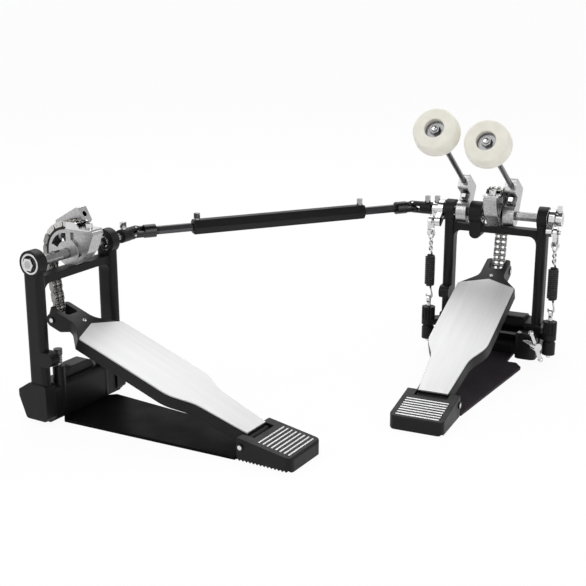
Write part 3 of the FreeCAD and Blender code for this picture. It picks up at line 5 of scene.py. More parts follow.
import bmesh
import bpy
from bpy.props import FloatProperty, FloatVectorProperty, IntProperty, PointerProperty
from bpy.types import Operator, Panel, PropertyGroup
from mathutils import Matrix, Vector, noise


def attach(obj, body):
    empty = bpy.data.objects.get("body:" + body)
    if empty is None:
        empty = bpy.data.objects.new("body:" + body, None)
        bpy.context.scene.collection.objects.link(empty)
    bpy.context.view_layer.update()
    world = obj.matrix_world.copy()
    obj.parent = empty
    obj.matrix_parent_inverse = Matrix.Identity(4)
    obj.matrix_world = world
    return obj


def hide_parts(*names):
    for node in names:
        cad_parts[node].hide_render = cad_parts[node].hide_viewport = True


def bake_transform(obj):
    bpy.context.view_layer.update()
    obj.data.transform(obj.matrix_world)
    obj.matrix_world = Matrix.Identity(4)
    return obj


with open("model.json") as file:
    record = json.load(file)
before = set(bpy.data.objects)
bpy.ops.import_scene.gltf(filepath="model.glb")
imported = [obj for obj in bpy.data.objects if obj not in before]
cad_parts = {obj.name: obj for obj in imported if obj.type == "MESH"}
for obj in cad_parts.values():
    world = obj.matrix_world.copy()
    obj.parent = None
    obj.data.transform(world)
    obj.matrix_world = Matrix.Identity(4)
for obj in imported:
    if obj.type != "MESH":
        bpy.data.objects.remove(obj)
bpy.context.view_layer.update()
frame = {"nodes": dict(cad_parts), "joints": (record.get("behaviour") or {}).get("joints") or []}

bl_info = {
    "name": "Double Bass Drum Pedal",
    "version": (1, 0, 0),
    "blender": (4, 5, 0),
    "location": "View3D > Sidebar > Drum Pedal",
    "description": "Finishes and fittings for a double bass drum pedal",
    "category": "Object",
}

JOINTS = {joint["name"]: joint for joint in frame["joints"]}
UP = Vector((0, 0, 1))
MM = 0.001


# Places taken from the frame

def joint_place(name):
    """A point on a joint's axis and the axis itself."""
    joint = JOINTS[name]
    return Vector(joint.get("pos_m", (0, 0, 0))), Vector(joint["axis"]).normalized()


def space_at(spot, x_way, y_way, z_way):
    """Space with its origin at a spot and its axes along three directions."""
    return Matrix.Translation(spot) @ Matrix((x_way, y_way, z_way)).transposed().to_4x4()


def axle_space(joint_name):
    """Space with its origin on an axle, X along it, Y to the front and Z up."""
    spot, axis = joint_place(joint_name)
    return space_at(spot, -axis, UP.cross(-axis), UP)


def node_span(node, way):
    """Least and greatest reach of a solid along a direction."""
    reaches = [vertex.co.dot(way) for vertex in frame["nodes"][node].data.vertices]
    return min(reaches), max(reaches)


MAIN_SPACE = axle_space("main_stroke")
SECOND_SPACE = axle_space("second_stroke")
SECOND_TURN = math.atan2(SECOND_SPACE[1][0], SECOND_SPACE[0][0])


# Settings

class PedalFinishes(PropertyGroup):
    """Colours of the finishes."""
    casting: FloatVectorProperty(
        name="Casting", description="Satin coat of the castings", subtype="COLOR",
        default=(0.0055, 0.0052, 0.006), min=0, max=1)
    # Corners of the coat take this lighter colour: partly rubbed wear, partly a painted highlight
    # along rounded edges.
    edge_wear_and_highlight: FloatVectorProperty(
        name="Edge wear and highlight", description="Coat lighter on its corners, as wear and painted highlight", subtype="COLOR",
        default=(0.022, 0.021, 0.023), min=0, max=1)
    # Main plate's colour, raised as painted light; the second plate takes a darker copy as painted
    # shade.
    sheet: FloatVectorProperty(
        name="Base sheet", description="Painted sheet of the base plates", subtype="COLOR",
        default=(0.040, 0.033, 0.041), min=0, max=1)
    tread: FloatVectorProperty(
        name="Tread", description="Brushed tread plates", subtype="COLOR",
        default=(0.67, 0.67, 0.675), min=0, max=1)
    alloy: FloatVectorProperty(
        name="Alloy", description="Die-cast cams and beater holders", subtype="COLOR",
        default=(0.50, 0.50, 0.505), min=0, max=1)
    chrome: FloatVectorProperty(
        name="Chrome", description="Plated rockers, bolts and links", subtype="COLOR",
        default=(0.70, 0.70, 0.71), min=0, max=1)
    chain: FloatVectorProperty(
        name="Chain", description="Nickel plate of the roller chains", subtype="COLOR",
        default=(0.62, 0.61, 0.585), min=0, max=1)
    rod: FloatVectorProperty(
        name="Rod", description="Blackened steel of rods and springs", subtype="COLOR",
        default=(0.16, 0.16, 0.17), min=0, max=1)
    felt: FloatVectorProperty(
        name="Felt", description="Pressed wool of the beater heads", subtype="COLOR",
        default=(0.84, 0.815, 0.72), min=0, max=1)
    # Painted shade: ambient occlusion darkens the crevices and corners of bright parts towards this
    # colour.
    crevice_shade: FloatVectorProperty(
        name="Crevice shade", description="Painted shade in the corners of bright parts", subtype="COLOR",
        default=(0.035, 0.033, 0.031), min=0, max=1)
    rubber: FloatVectorProperty(
        name="Rubber", description="Seals, pads and spring cores", subtype="COLOR",
        default=(0.012, 0.012, 0.012), min=0, max=1)


class PedalSizes(PropertyGroup):
    """Sizes of the pieces made here."""
    felt_fuzz: FloatProperty(
        name="Felt fuzz", description="Height of the wool's unevenness", subtype="DISTANCE",
        unit="LENGTH", default=0.16 * MM, min=0)
    coil_radius: FloatProperty(
        name="Coil radius", description="Return spring, to the middle of the wire",
        subtype="DISTANCE", unit="LENGTH", default=5.1 * MM, min=0)
    wire_radius: FloatProperty(
        name="Wire radius", description="Return spring's wire", subtype="DISTANCE",
        unit="LENGTH", default=1.1 * MM, min=0)
    coil_turns: IntProperty(
        name="Coil turns", description="Turns of a return spring", default=16, min=1)
    twist_radius: FloatProperty(
        name="Twist radius",
        description="Doubled wire of an upper hook, to the middle of the wire",
        subtype="DISTANCE", unit="LENGTH", default=1.6 * MM, min=0)
    core_radius: FloatProperty(
        name="Core radius", description="Foam core that keeps a spring quiet",
        subtype="DISTANCE", unit="LENGTH", default=3.9 * MM, min=0)
    cam_felt: FloatProperty(
        name="Cam felt", description="Thickness of the strip under the chain",
        subtype="DISTANCE", unit="LENGTH", default=1.1 * MM, min=0)
    housing_reach: FloatProperty(
        name="Housing reach", description="Outer face of a bearing housing from the middle",
        subtype="DISTANCE", unit="LENGTH", default=61 * MM, min=0)
    deck_height: FloatProperty(
        name="Deck height", description="Top of a footboard above its heel pin's plane",
        subtype="DISTANCE", unit="LENGTH", default=8.6 * MM, min=0)
    toe_drop: FloatProperty(
        name="Toe drop", description="Toe pin below the heel pin's plane", subtype="DISTANCE",
        unit="LENGTH", default=3.25 * MM, min=0)
    screw_radius: FloatProperty(
        name="Screw radius", description="Head of the screw on a footboard's neck",
        subtype="DISTANCE", unit="LENGTH", default=2.4 * MM, min=0)
    block_screw: FloatVectorProperty(
        name="Block screw", description="Place of the screw on the clamp block's top",
        subtype="TRANSLATION", unit="LENGTH", default=(41 * MM, -24.5 * MM, 36 * MM))


class PedalStudio(PropertyGroup):
    """Camera and light."""
    camera_place: FloatVectorProperty(
        name="Camera place", description="Where the camera stands", subtype="TRANSLATION",
        unit="LENGTH", default=(0.3374, -1.2994, 0.4543))
    camera_yaw: FloatProperty(
        name="Yaw", description="Turn of the camera to the left", subtype="ANGLE",
        unit="ROTATION", default=0.4346)
    camera_pitch: FloatProperty(
        name="Pitch", description="Tilt of the camera upwards", subtype="ANGLE",
        unit="ROTATION", default=-0.2811)
    lens: FloatProperty(
        name="Lens", description="Focal length in millimetres", default=70.06, min=1)
    daylight: FloatProperty(
        name="Daylight", description="Light from all round", default=0.62, min=0)
    ceiling: FloatProperty(
        name="Ceiling", description="How bright the ceiling is beside the walls", default=0.10,
        min=0, max=1)
    floor: FloatVectorProperty(
        name="Floor", description="Colour of the floor", subtype="COLOR",
        default=(0.95, 0.95, 0.95), min=0, max=1)


# Finishes

def add_node(tree, kind, sockets=(), **settings):
    """A shader node with its settings and socket values."""
    node = tree.nodes.new(kind)
    for name, value in settings.items():
        setattr(node, name, value)
    for name, value in dict(sockets).items():
        node.inputs[name].default_value = value
    return node


class Finish:
    """One material, built up layer by layer on its principled shader."""

    def __init__(self, name, **sockets):
        """Start from a plain shader, with values for its own sockets."""
        self.material = bpy.data.materials.new(name)
        self.material.use_nodes = True
        self.tree = self.material.node_tree
        self.shader = self.tree.nodes["Principled BSDF"]
        for socket, value in sockets.items():
            self.shader.inputs[socket.replace("_", " ")].default_value = value
        self.place = add_node(self.tree, "ShaderNodeTexCoord").outputs["Object"]
        self.normal = None

    def link(self, source, target):
        """Lead one socket to another."""
        self.tree.links.new(source, target)

    def vector(self, operation, source, constant=None):
        """Outputs of a sum on a vector, with a constant where the sum needs one."""
        node = add_node(self.tree, "ShaderNodeVectorMath", operation=operation)
        self.link(source, node.inputs[0])
        if constant is not None:
            node.inputs[1].default_value = constant
        return node.outputs

    def combined(self, operation, first, second):
        """One value worked out from two."""
        node = add_node(self.tree, "ShaderNodeMath", operation=operation)
        self.link(first, node.inputs[0])
        self.link(second, node.inputs[1])
        return node.outputs["Value"]

    def turned(self, angle, scale):
        """Place turned about the vertical, then stretched."""
        turn = add_node(self.tree, "ShaderNodeVectorRotate", {"Angle": -angle},
                        rotation_type="Z_AXIS")
        self.link(self.place, turn.inputs["Vector"])
        return self.vector("MULTIPLY", turn.outputs["Vector"], scale)["Vector"]

    def along(self, way, across, length):
        """Place measured across and along a direction, each with its own scale."""
        way = Vector(way).normalized()
        side = way.orthogonal().normalized()
        joined = add_node(self.tree, "ShaderNodeCombineXYZ")
        for socket, part in zip("XYZ", (side * across, way.cross(side) * across, way * length)):
            self.link(self.reach(part), joined.inputs[socket])
        return joined.outputs["Vector"]

    def reach(self, way):
        """Distance along a direction."""
        return self.vector("DOT_PRODUCT", self.place, way)["Value"]

    def off_axis(self, spot, way):
        """Distance from a line."""
        shift = self.vector("SUBTRACT", self.place, spot)["Vector"]
        across = self.vector("CROSS_PRODUCT", shift, way)["Vector"]
        return self.vector("LENGTH", across)["Value"]

    def speckle(self, scale, detail=3.0, place=None, rough=0.5):
        """Noise from 0 to 1, with scale in waves to the metre."""
        node = add_node(self.tree, "ShaderNodeTexNoise",
                        {"Scale": scale, "Detail": detail, "Roughness": rough})
        self.link(place or self.place, node.inputs["Vector"])
        return node.outputs["Fac"]

    def ranged(self, value, low, high, start=0.3, stop=0.7):
        """A value carried from start..stop to low..high."""
        node = add_node(self.tree, "ShaderNodeMapRange",
                        {"From Min": start, "From Max": stop, "To Min": low, "To Max": high})
        self.link(value, node.inputs["Value"])
        return node.outputs["Result"]

    def between(self, share, first, second):
        """Colour mixed from first to second."""
        node = add_node(self.tree, "ShaderNodeMix", data_type="RGBA")
        node.inputs["A"].default_value = (*first, 1)
        node.inputs["B"].default_value = (*second, 1)
        self.link(share, node.inputs["Factor"])
        return node.outputs["Result"]

    def colour(self, source):
        """Lead a socket to the shader's colour."""
        self.link(source, self.shader.inputs["Base Color"])

    def roughness(self, source):
        """Lead a socket to the shader's roughness."""
        self.link(source, self.shader.inputs["Roughness"])

    def bump(self, height, strength, distance):
        """A layer of relief over those before it."""
        node = add_node(self.tree, "ShaderNodeBump", {"Strength": strength, "Distance": distance})
        self.link(height, node.inputs["Height"])
        if self.normal is not None:
            self.link(self.normal, node.inputs["Normal"])
        self.normal = node.outputs["Normal"]
        self.link(self.normal, self.shader.inputs["Normal"])

    def soften(self, radius):
        """Corners that catch the light as if rounded."""
        node = add_node(self.tree, "ShaderNodeBevel", {"Radius": radius}, samples=4)
        self.normal = node.outputs["Normal"]
        self.link(self.normal, self.shader.inputs["Normal"])
        return self.normal

    def corner_share(self, softened):
        """How far a softened normal leans from the face: about 1 on a corner."""
        dot = add_node(self.tree, "ShaderNodeVectorMath", operation="DOT_PRODUCT")
        self.link(softened, dot.inputs[0])
        self.link(add_node(self.tree, "ShaderNodeNewGeometry").outputs["Normal"], dot.inputs[1])
        return self.ranged(dot.outputs["Value"], 1, 0, start=0.72, stop=0.98)

    def hollow_share(self, reach):
        """1 deep in a crevice, 0 on open faces: ambient occlusion that lays the painted shade."""
        node = add_node(self.tree, "ShaderNodeAmbientOcclusion", {"Distance": reach}, samples=8)
        return self.ranged(node.outputs["AO"], 1, 0, start=0.15, stop=0.75)

    def over(self, share, under, colour):
        """A colour laid over another where the share is high."""
        node = add_node(self.tree, "ShaderNodeMix", data_type="RGBA")
        node.inputs["B"].default_value = (*colour, 1)
        self.link(under, node.inputs["A"])
        self.link(share, node.inputs["Factor"])
        return node.outputs["Result"]


def lighter(colour, share):
    """A colour moved towards white, or towards black with a negative share."""
    target = 1 if share > 0 else 0
    return tuple(part + (target - part) * abs(share) for part in colour)


def powder_coat(name, colour, wear_and_highlight):
    """Satin powder coat: fine orange peel, handling marks, and corners painted lighter, partly as
    rubbed wear and partly as a painted highlight.
    """
    finish = Finish(name, Specular_IOR_Level=0.22)
    edge = finish.corner_share(finish.soften(0.9 * MM))
    patchy = finish.ranged(finish.speckle(160, 3), 0, 1)
    # Corners painted lighter: partly wear, partly a painted highlight.
    worn_and_lit = finish.combined("MULTIPLY", edge, patchy)
    finish.colour(finish.between(worn_and_lit, colour, wear_and_highlight))
    finish.roughness(finish.ranged(finish.speckle(45, 4), 0.38, 0.5))
    finish.bump(finish.speckle(1500, 2), strength=0.10, distance=0.12 * MM)
    return finish.material


def painted_sheet(name, colour):
    """Smooth paint on sheet steel, scuffed by shoes."""
    finish = Finish(name, Specular_IOR_Level=0.03)
    finish.soften(0.5 * MM)
    scuffs = finish.speckle(1, 4, finish.turned(0.4, (260, 14, 60)))
    share = finish.ranged(scuffs, 0, 1, start=0.55, stop=0.8)
    finish.colour(finish.between(share, colour, lighter(colour, 0.003)))
    finish.roughness(finish.ranged(finish.speckle(30, 4), 0.40, 0.54))
    finish.bump(finish.speckle(900, 2), strength=0.05, distance=0.1 * MM)
    return finish.material


def brushed_plate(name, colour, turn):
    """Aluminium brushed along the board, with finer cross marks."""
    finish = Finish(name, Metallic=0.6)
    strokes = finish.speckle(1, 4, finish.turned(turn, (2600, 16, 60)))
    broad = finish.speckle(1, 3, finish.turned(turn, (300, 5, 20)))
    finish.colour(finish.between(finish.ranged(broad, 0, 1), lighter(colour, -0.04),
                                 lighter(colour, 0.04)))
    finish.roughness(finish.ranged(strokes, 0.40, 0.54))
    finish.bump(strokes, strength=0.06, distance=0.05 * MM)
    return finish.material


def cast_alloy(name, colour, crevice_shade):
    """Tumbled die-cast aluminium: mottled and lightly pitted, with a painted highlight on its
    corners and painted shade in its crevices.
    """
    finish = Finish(name, Metallic=1.0)
    edge = finish.corner_share(finish.soften(0.7 * MM))
    mottle = finish.ranged(finish.speckle(420, 5, rough=0.6), 0, 1)
    darker = finish.between(mottle, lighter(colour, -0.25), lighter(colour, 0.08))
    # Painted highlight: corners are coloured much lighter than the casting.
    bright = finish.over(edge, darker, lighter(colour, 0.5))
    # Painted shade: crevices are darkened by ambient occlusion.
    finish.colour(finish.over(finish.hollow_share(7 * MM), bright, crevice_shade))
    finish.roughness(finish.ranged(finish.speckle(300, 3), 0.24, 0.36))
    finish.bump(finish.speckle(420, 2), strength=0.06, distance=0.15 * MM)
    return finish.material


def plated(name, colour, rough_low, rough_high, crevice_shade, reach):
    """Bright plating with faint smears, and painted shade darkening its corners."""
    finish = Finish(name, Metallic=1.0)
    finish.soften(0.35 * MM)
    finish.roughness(finish.ranged(finish.speckle(120, 4), rough_low, rough_high))
    tint = finish.ranged(finish.speckle(240, 3), 0, 1)
    unshaded = finish.between(tint, lighter(colour, -0.12), colour)
    # Painted shade: corners and crevices are darkened by ambient occlusion.
    finish.colour(finish.over(finish.hollow_share(reach), unshaded, crevice_shade))
    finish.bump(finish.speckle(80, 2), strength=0.04, distance=0.1 * MM)
    return finish.material


def pressed_felt(name, colour):
    """Pressed wool: soft clouds, fine fibres and a velvety edge."""
    finish = Finish(name, Roughness=0.95, Sheen_Weight=0.35, Sheen_Roughness=0.5,
                    Specular_IOR_Level=0.15)
    clouds = finish.ranged(finish.speckle(70, 4), 0, 1)
    finish.colour(finish.between(clouds, lighter(colour, -0.07), lighter(colour, 0.10)))
    finish.bump(finish.speckle(700, 5, rough=0.7), strength=0.35, distance=0.35 * MM)
    finish.bump(finish.speckle(2600, 2), strength=0.25, distance=0.12 * MM)
    return finish.material


def soft_rubber(name, colour):
    """Dull rubber or dense felt with a fine grain."""
    finish = Finish(name, Specular_IOR_Level=0.3)
    finish.soften(0.3 * MM)
    finish.colour(finish.between(finish.ranged(finish.speckle(90, 3), 0, 1), colour,
                                 lighter(colour, 0.012)))
    finish.roughness(finish.ranged(finish.speckle(300, 3), 0.62, 0.8))
    finish.bump(finish.speckle(1800, 2), strength=0.15, distance=0.1 * MM)
    return finish.material


def drawn_steel(name, way, border, first, second, crevice_shade):
    """Bar drawn along a direction: one colour up to a border, another beyond, and painted shade in
    its corners.
    """
    finish = Finish(name, Metallic=1.0)
    finish.soften(0.3 * MM)
    fade = 0.1 * MM
    share = finish.ranged(finish.reach(way), 0, 1, border - fade, border + fade)
    marks = finish.speckle(1, 3, finish.along(way, 1100, 22))
    plain = finish.between(finish.ranged(marks, 0, 1), lighter(first, -0.2), lighter(first, 0.06))
    unshaded = finish.over(share, plain, second)
    # Painted shade: corners and crevices are darkened by ambient occlusion.
    finish.colour(finish.over(finish.hollow_share(3.2 * MM), unshaded, crevice_shade))
    finish.roughness(finish.ranged(marks, 0.24, 0.38))
    finish.bump(marks, strength=0.05, distance=0.05 * MM)
    return finish.material


def pin_steel(name, coat, bright, lines, radius):
    """Black pin heads with a bright turned centre, about the given lines."""
    finish = Finish(name, Specular_IOR_Level=0.3)
    finish.soften(0.3 * MM)
    near = finish.off_axis(*lines[0])
    for line in lines[1:]:
        near = finish.combined("MINIMUM", near, finish.off_axis(*line))
    fade = 0.15 * MM
    share = finish.ranged(near, 1, 0, radius - fade, radius + fade)
    finish.colour(finish.between(share, coat, bright))
    finish.link(share, finish.shader.inputs["Metallic"])
    finish.roughness(finish.ranged(finish.speckle(300, 3), 0.2, 0.34))
    finish.bump(finish.speckle(500, 2), strength=0.05, distance=0.1 * MM)
    return finish.material


def sealed_bearing(name, steel, rubber, space, ring_inner, ring_outer):
    """Steel races with a rubber seal between them, told apart by the distance from the axle."""
    finish = Finish(name)
    away = finish.off_axis(space.translation, space.col[0][:3])
    fade = 0.1 * MM
    above = finish.ranged(away, 0, 1, ring_inner - fade, ring_inner + fade)
    below = finish.ranged(away, 1, 0, ring_outer - fade, ring_outer + fade)
    share = finish.combined("MULTIPLY", above, below)
    finish.colour(finish.between(share, steel, rubber))
    finish.link(finish.ranged(share, 1, 0, 0, 1), finish.shader.inputs["Metallic"])
    finish.roughness(finish.ranged(share, 0.22, 0.6, 0, 1))
    finish.bump(finish.speckle(900, 2), strength=0.05, distance=0.08 * MM)
    return finish.material


def dress(nodes, material):
    """Put one finish on solids of the frame."""
    for node in nodes:
        slots = frame["nodes"][node].data.materials
        slots.clear()
        slots.append(material)


# Mesh pieces

def piece_from(name, mesh_builder, material, body):
    """A smooth-shaded piece, which rides on a body where one is given."""
    mesh = bpy.data.meshes.new(name)
    built = bmesh.new()
    mesh_builder(built)
    bmesh.ops.recalc_face_normals(built, faces=built.faces)
    built.to_mesh(mesh)
    built.free()
    mesh.materials.append(material)
    for face in mesh.polygons:
        face.use_smooth = True
    mesh.set_sharp_from_angle(angle=math.radians(40))
    piece = bpy.data.objects.new(name, mesh)
    bpy.context.collection.objects.link(piece)
    if body:
        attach(piece, body)
    return piece


def lathe(built, space, profile, steps):
    """Revolve (radius, height) points about a space's Z axis; a radius of zero closes the end."""
    rings = []
    for radius, height in profile:
        if radius == 0:
            rings.append([built.verts.new(space @ Vector((0, 0, height)))])
            continue
        ring = []
        for step in range(steps):
            turn = 2 * math.pi * step / steps
            spot = Vector((radius * math.cos(turn), radius * math.sin(turn), height))
            ring.append(built.verts.new(space @ spot))
        rings.append(ring)
    for low, high in zip(rings, rings[1:]):
        for step in range(steps):
            after = (step + 1) % steps
            corners = []
            for ring, index in ((low, step), (low, after), (high, after), (high, step)):
                vert = ring[index % len(ring)]
                if vert not in corners:
                    corners.append(vert)
            built.faces.new(corners)


def closed_lathe(built, space, profile, steps):
    """Revolve an outline that comes back to its start."""
    lathe(built, space, profile, steps)
    bmesh.ops.remove_doubles(built, verts=built.verts, dist=1e-6)


def swept(built, path, radius, sides):
    """Round tube along a list of points, closed at both ends."""
    rings = []
    normal = None
    for index, spot in enumerate(path):
        before = path[max(index - 1, 0)]
        after = path[min(index + 1, len(path) - 1)]
        way = (after - before).normalized()
        if normal is None:
            normal = way.orthogonal().normalized()
        normal = (normal - way * normal.dot(way)).normalized()
        side = way.cross(normal)
        ring = []
        for step in range(sides):
            turn = 2 * math.pi * step / sides
            ring.append(built.verts.new(
                spot + (normal * math.cos(turn) + side * math.sin(turn)) * radius))
        rings.append(ring)
    for low, high in zip(rings, rings[1:]):
        for step in range(sides):
            after = (step + 1) % sides
            built.faces.new((low[step], low[after], high[after], high[step]))
    built.faces.new(rings[0])
    built.faces.new(rings[-1])


def rounded(corners, steps=5):
    """An outline of (radius, height) points with each corner's own rounding."""
    shared_side, free_side = 0.49, 0.98
    points = []
    for index, (x, y, radius) in enumerate(corners):
        spot = Vector((x, y))
        if radius == 0 or index in (0, len(corners) - 1):
            points.append((x, y))
            continue
        before = Vector(corners[index - 1][:2]) - spot
        after = Vector(corners[index + 1][:2]) - spot
        half = before.angle(after) / 2
        room = [side.length * (shared_side if corners[index + step][2] else free_side)
                for step, side in ((-1, before), (1, after))]
        reach = min(radius / math.tan(half), *room)
        start = spot + before.normalized() * reach
        stop = spot + after.normalized() * reach
        for step in range(steps + 1):
            on, back = step / steps, 1 - step / steps
            curve = start * back ** 2 + spot * 2 * on * back + stop * on ** 2
            points.append((curve.x, curve.y))
    return points


# Steps that dress the pedal

class PEDAL_OT_castings(Operator):
    """Coat the castings, boards and sheet parts"""
    bl_idname = "pedal.castings"
    bl_label = "Castings"

    def execute(self, context):
        colours = context.scene.pedal_finishes
        coat = powder_coat("satin_black_coat", colours.casting, colours.edge_wear_and_highlight)
        dress(["main_frame", "second_frame", "clamp_jaw", "main_heel_block",
               "second_heel_block", "main_footboard", "second_footboard", "shaft_tube",
               "main_axle_yoke", "second_axle_yoke", "left_adjust_nuts",
               "right_adjust_nuts"], coat)
        # Painted light: both plates share one paint, the main plate's copy lighter as if lit, the
        # second plate's much darker as if in shade.
        dress(["main_base_plate"], painted_sheet("main_base_sheet_painted_lit", colours.sheet))
        dress(["second_base_plate"],
              painted_sheet("second_base_sheet_painted_shaded", lighter(colours.sheet, -0.88)))
        return {"FINISHED"}


class PEDAL_OT_bright_parts(Operator):
    """Finish the treads, cams, chains, rods, bearings and plated parts"""
    bl_idname = "pedal.bright_parts"
    bl_label = "Bright Parts"

    def execute(self, context):
        colours = context.scene.pedal_finishes
        dress(["main_tread_plate"], brushed_plate("main_brushed_plate", colours.tread, 0))
        dress(["second_tread_plate"],
              brushed_plate("second_brushed_plate", colours.tread, SECOND_TURN))
        dress(["main_cam", "second_cam", "main_beater_holder", "left_beater_holder",
               "second_beater_holder"], cast_alloy("tumbled_alloy", colours.alloy, colours.crevice_shade))
        for name, colour, rough_low, rough_high, reach, nodes in (
                ("polished_grip", lighter(colours.chrome, -0.15), 0.2, 0.34, 1.5 * MM,
                 ["main_heel_grips", "second_heel_grips"]),
                ("nickel_chain", colours.chain, 0.05, 0.14, 5 * MM,
                 ["main_chain_upper", "main_chain_wrap", "second_chain_upper",
                  "second_chain_wrap"]),
                # Painted shade: the hanging stretches of chain take a much darker copy of the
                # chain's colour.
                ("shaded_chain_copy", lighter(colours.chain, -0.55), 0.05, 0.14, 6 * MM,
                 ["main_chain", "main_chain_lower", "second_chain", "second_chain_lower"]),
                ("key_bolt_steel", lighter(colours.chrome, -0.45), 0.1, 0.2, 5 * MM,
                 ["left_axle_bolts", "shaft_bolts"]),
                ("bright_chrome", colours.chrome, 0.06, 0.16, 4 * MM,
                 ["right_rocker", "left_rocker", "main_axle_bolts", "second_axle_bolts",
                  "clamp_wing_bolt", "right_spring_link", "left_spring_link",
                  "spring_eye_bolts"]),
                ("ground_steel", lighter(colours.chrome, -0.3), 0.18, 0.3, 5 * MM,
                 ["main_axle_shaft", "left_axle_shaft", "second_axle_shaft",
                  "main_joint_cross", "second_joint_cross"])):
            dress(nodes, plated(name, colour, rough_low, rough_high, colours.crevice_shade, reach))
        self.finish_rods(colours)
        seal_inner, seal_outer = 5.6 * MM, 8.8 * MM
        for node, space in (("main_bearings", MAIN_SPACE), ("second_bearings", SECOND_SPACE)):
            dress([node], sealed_bearing(node + "_steel", colours.chrome, colours.rubber, space,
                                         seal_inner, seal_outer))
        return {"FINISHED"}

    def finish_rods(self, colours):
        """Rods, pins and spurs, which change colour along or about their own lines."""
        yoke, cup_depth, spur_head, pin_centre = 31 * MM, 7.8 * MM, 6.1 * MM, 2.3 * MM
        black, cup = lighter(colours.rod, -0.82), lighter(colours.chrome, -0.6)
        shaft = joint_place("shaft_turn")[1]
        for side, way in (("main", shaft), ("second", -shaft)):
            node = side + "_shaft_rod"
            dress([node], drawn_steel(node + "_steel", way, node_span(node, way)[0] + yoke,
                                      black, lighter(colours.rod, -0.45), colours.crevice_shade))
            lines = [joint_place(side + joint) for joint in ("_press", "_chain_swing")]
            dress([side + "_hinge_pins"], pin_steel(side + "_pin_steel", colours.casting,
                                                    colours.chrome, lines, pin_centre))
        for side in ("main", "left"):
            node = side + "_beater_rod"
            way = joint_place(side + "_beater_reach")[1]
            dress([node], drawn_steel(node + "_steel", way, node_span(node, way)[1] - cup_depth,
                                      colours.rod, cup, colours.crevice_shade))
        dress(["second_spurs"],
              drawn_steel("spur_steel", -UP, -node_span("second_spurs", UP)[1] + spur_head,
                          lighter(colours.rod, -0.6), colours.chrome, colours.crevice_shade))


class PEDAL_OT_beater_heads(Operator):
    """Shape the felt beater heads over their solids, and dome the rods' tips"""
    bl_idname = "pedal.beater_heads"
    bl_label = "Beater Heads"

    def execute(self, context):
        sizes = context.scene.pedal_sizes
        colours = context.scene.pedal_finishes
        felt = pressed_felt("cream_felt", colours.felt)
        tip_steel = plated("rod_tip_steel", colours.chrome, 0.08, 0.18, colours.crevice_shade, 1 * MM)
        bowl = 10.8 * MM
        for side in ("main", "left"):
            node = side + "_beater_head"
            axis = joint_place(side + "_beater_reach")[1]
            across = Vector((1, 0, 0))
            square = axis.cross(across)
            low, high = node_span(node, axis)
            q_low, q_high = node_span(node, square)
            x_low, x_high = node_span(node, across)
            radius = (x_high - x_low) / 2
            length = high - low
            middle = (across * (x_low + x_high) + square * (q_low + q_high)) / 2 + axis * low
            space = space_at(middle, across, square, axis)

            def build(built, space=space, radius=radius, length=length):
                closed_lathe(built, space, felt_outline(radius, length, bowl), steps=96)
                roughen(built, space, bowl, sizes.felt_fuzz)

            tip_space = space @ Matrix.Translation((0, 0, length))
            tip = piece_from(side + "_rod_tip", lambda built: lathe(
                built, tip_space, tip_outline(), steps=32), tip_steel, side + "_beater")
            head = piece_from(side + "_felt_head", build, felt, side + "_beater")
            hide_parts(node)
        return {"FINISHED"}


def felt_outline(radius, length, bowl):
    """Half section of a head: tapered back, full belly, crisp front edge, bowl for the washer."""
    bore, bowl_depth = 3.05 * MM, 8 * MM
    neck_round, belly_round, side_round, bowl_round = 5 * MM, 7 * MM, 3 * MM, 1.2 * MM
    neck, full, floor = radius * 0.745, length * 0.42, length - bowl_depth
    edge, front, taper_steps, face_steps = 3.4 * MM, radius * 0.935, 8, 5
    taper = [(neck + (radius - neck) * step / taper_steps, full * step / taper_steps, 0)
             for step in range(3, 6)]
    wall = [(radius, length * 0.52, side_round), (radius * 0.985, length * 0.70, 0),
            (radius * 0.965, length * 0.82, 0)]
    face = [(front - edge - (front - edge - bowl) * step / face_steps, length, 0)
            for step in range(face_steps - 1)]
    return rounded([
        (bore, floor * 0.5, 0), (bore, 0, 0), (neck * 0.5, 0, 0),
        (neck, 0, neck_round), *taper, (radius * 0.995, full, belly_round), *wall,
        (front, length, edge), *face, (bowl, length, bowl_round),
        (bowl, floor, 0), (bore, floor, 0), (bore, floor * 0.5, 0)], steps=8)


def tip_outline():
    """Half section of a rod's domed tip, sunk a little into the rod."""
    radius, sunk, rise = 3.3 * MM, 1.0 * MM, 1.05 * MM
    rim = (radius, -0.1 * MM, 0.5 * MM)
    shoulder = (2.6 * MM, 0.7 * MM, 0.6 * MM)
    crown = (1.2 * MM, 1.0 * MM, 0.4 * MM)
    return rounded([(0, -sunk, 0), (radius, -sunk, 0), rim, shoulder, crown, (0, rise, 0)], steps=4)


def roughen(built, space, bowl, fuzz):
    """Draw the wool in unevenly, apart from the bowl."""
    clumps_to_the_metre, fall_off, finer, layers = 420, 0.8, 2.1, 4
    inverse = space.inverted()
    for vert in built.verts:
        local = inverse @ vert.co
        outward = Vector((local.x, local.y, 0))
        if outward.length < bowl:
            continue
        swell = noise.fractal(local * clumps_to_the_metre, fall_off, finer, layers) * fuzz
        vert.co -= (space.to_3x3() @ outward.normalized()) * abs(swell)


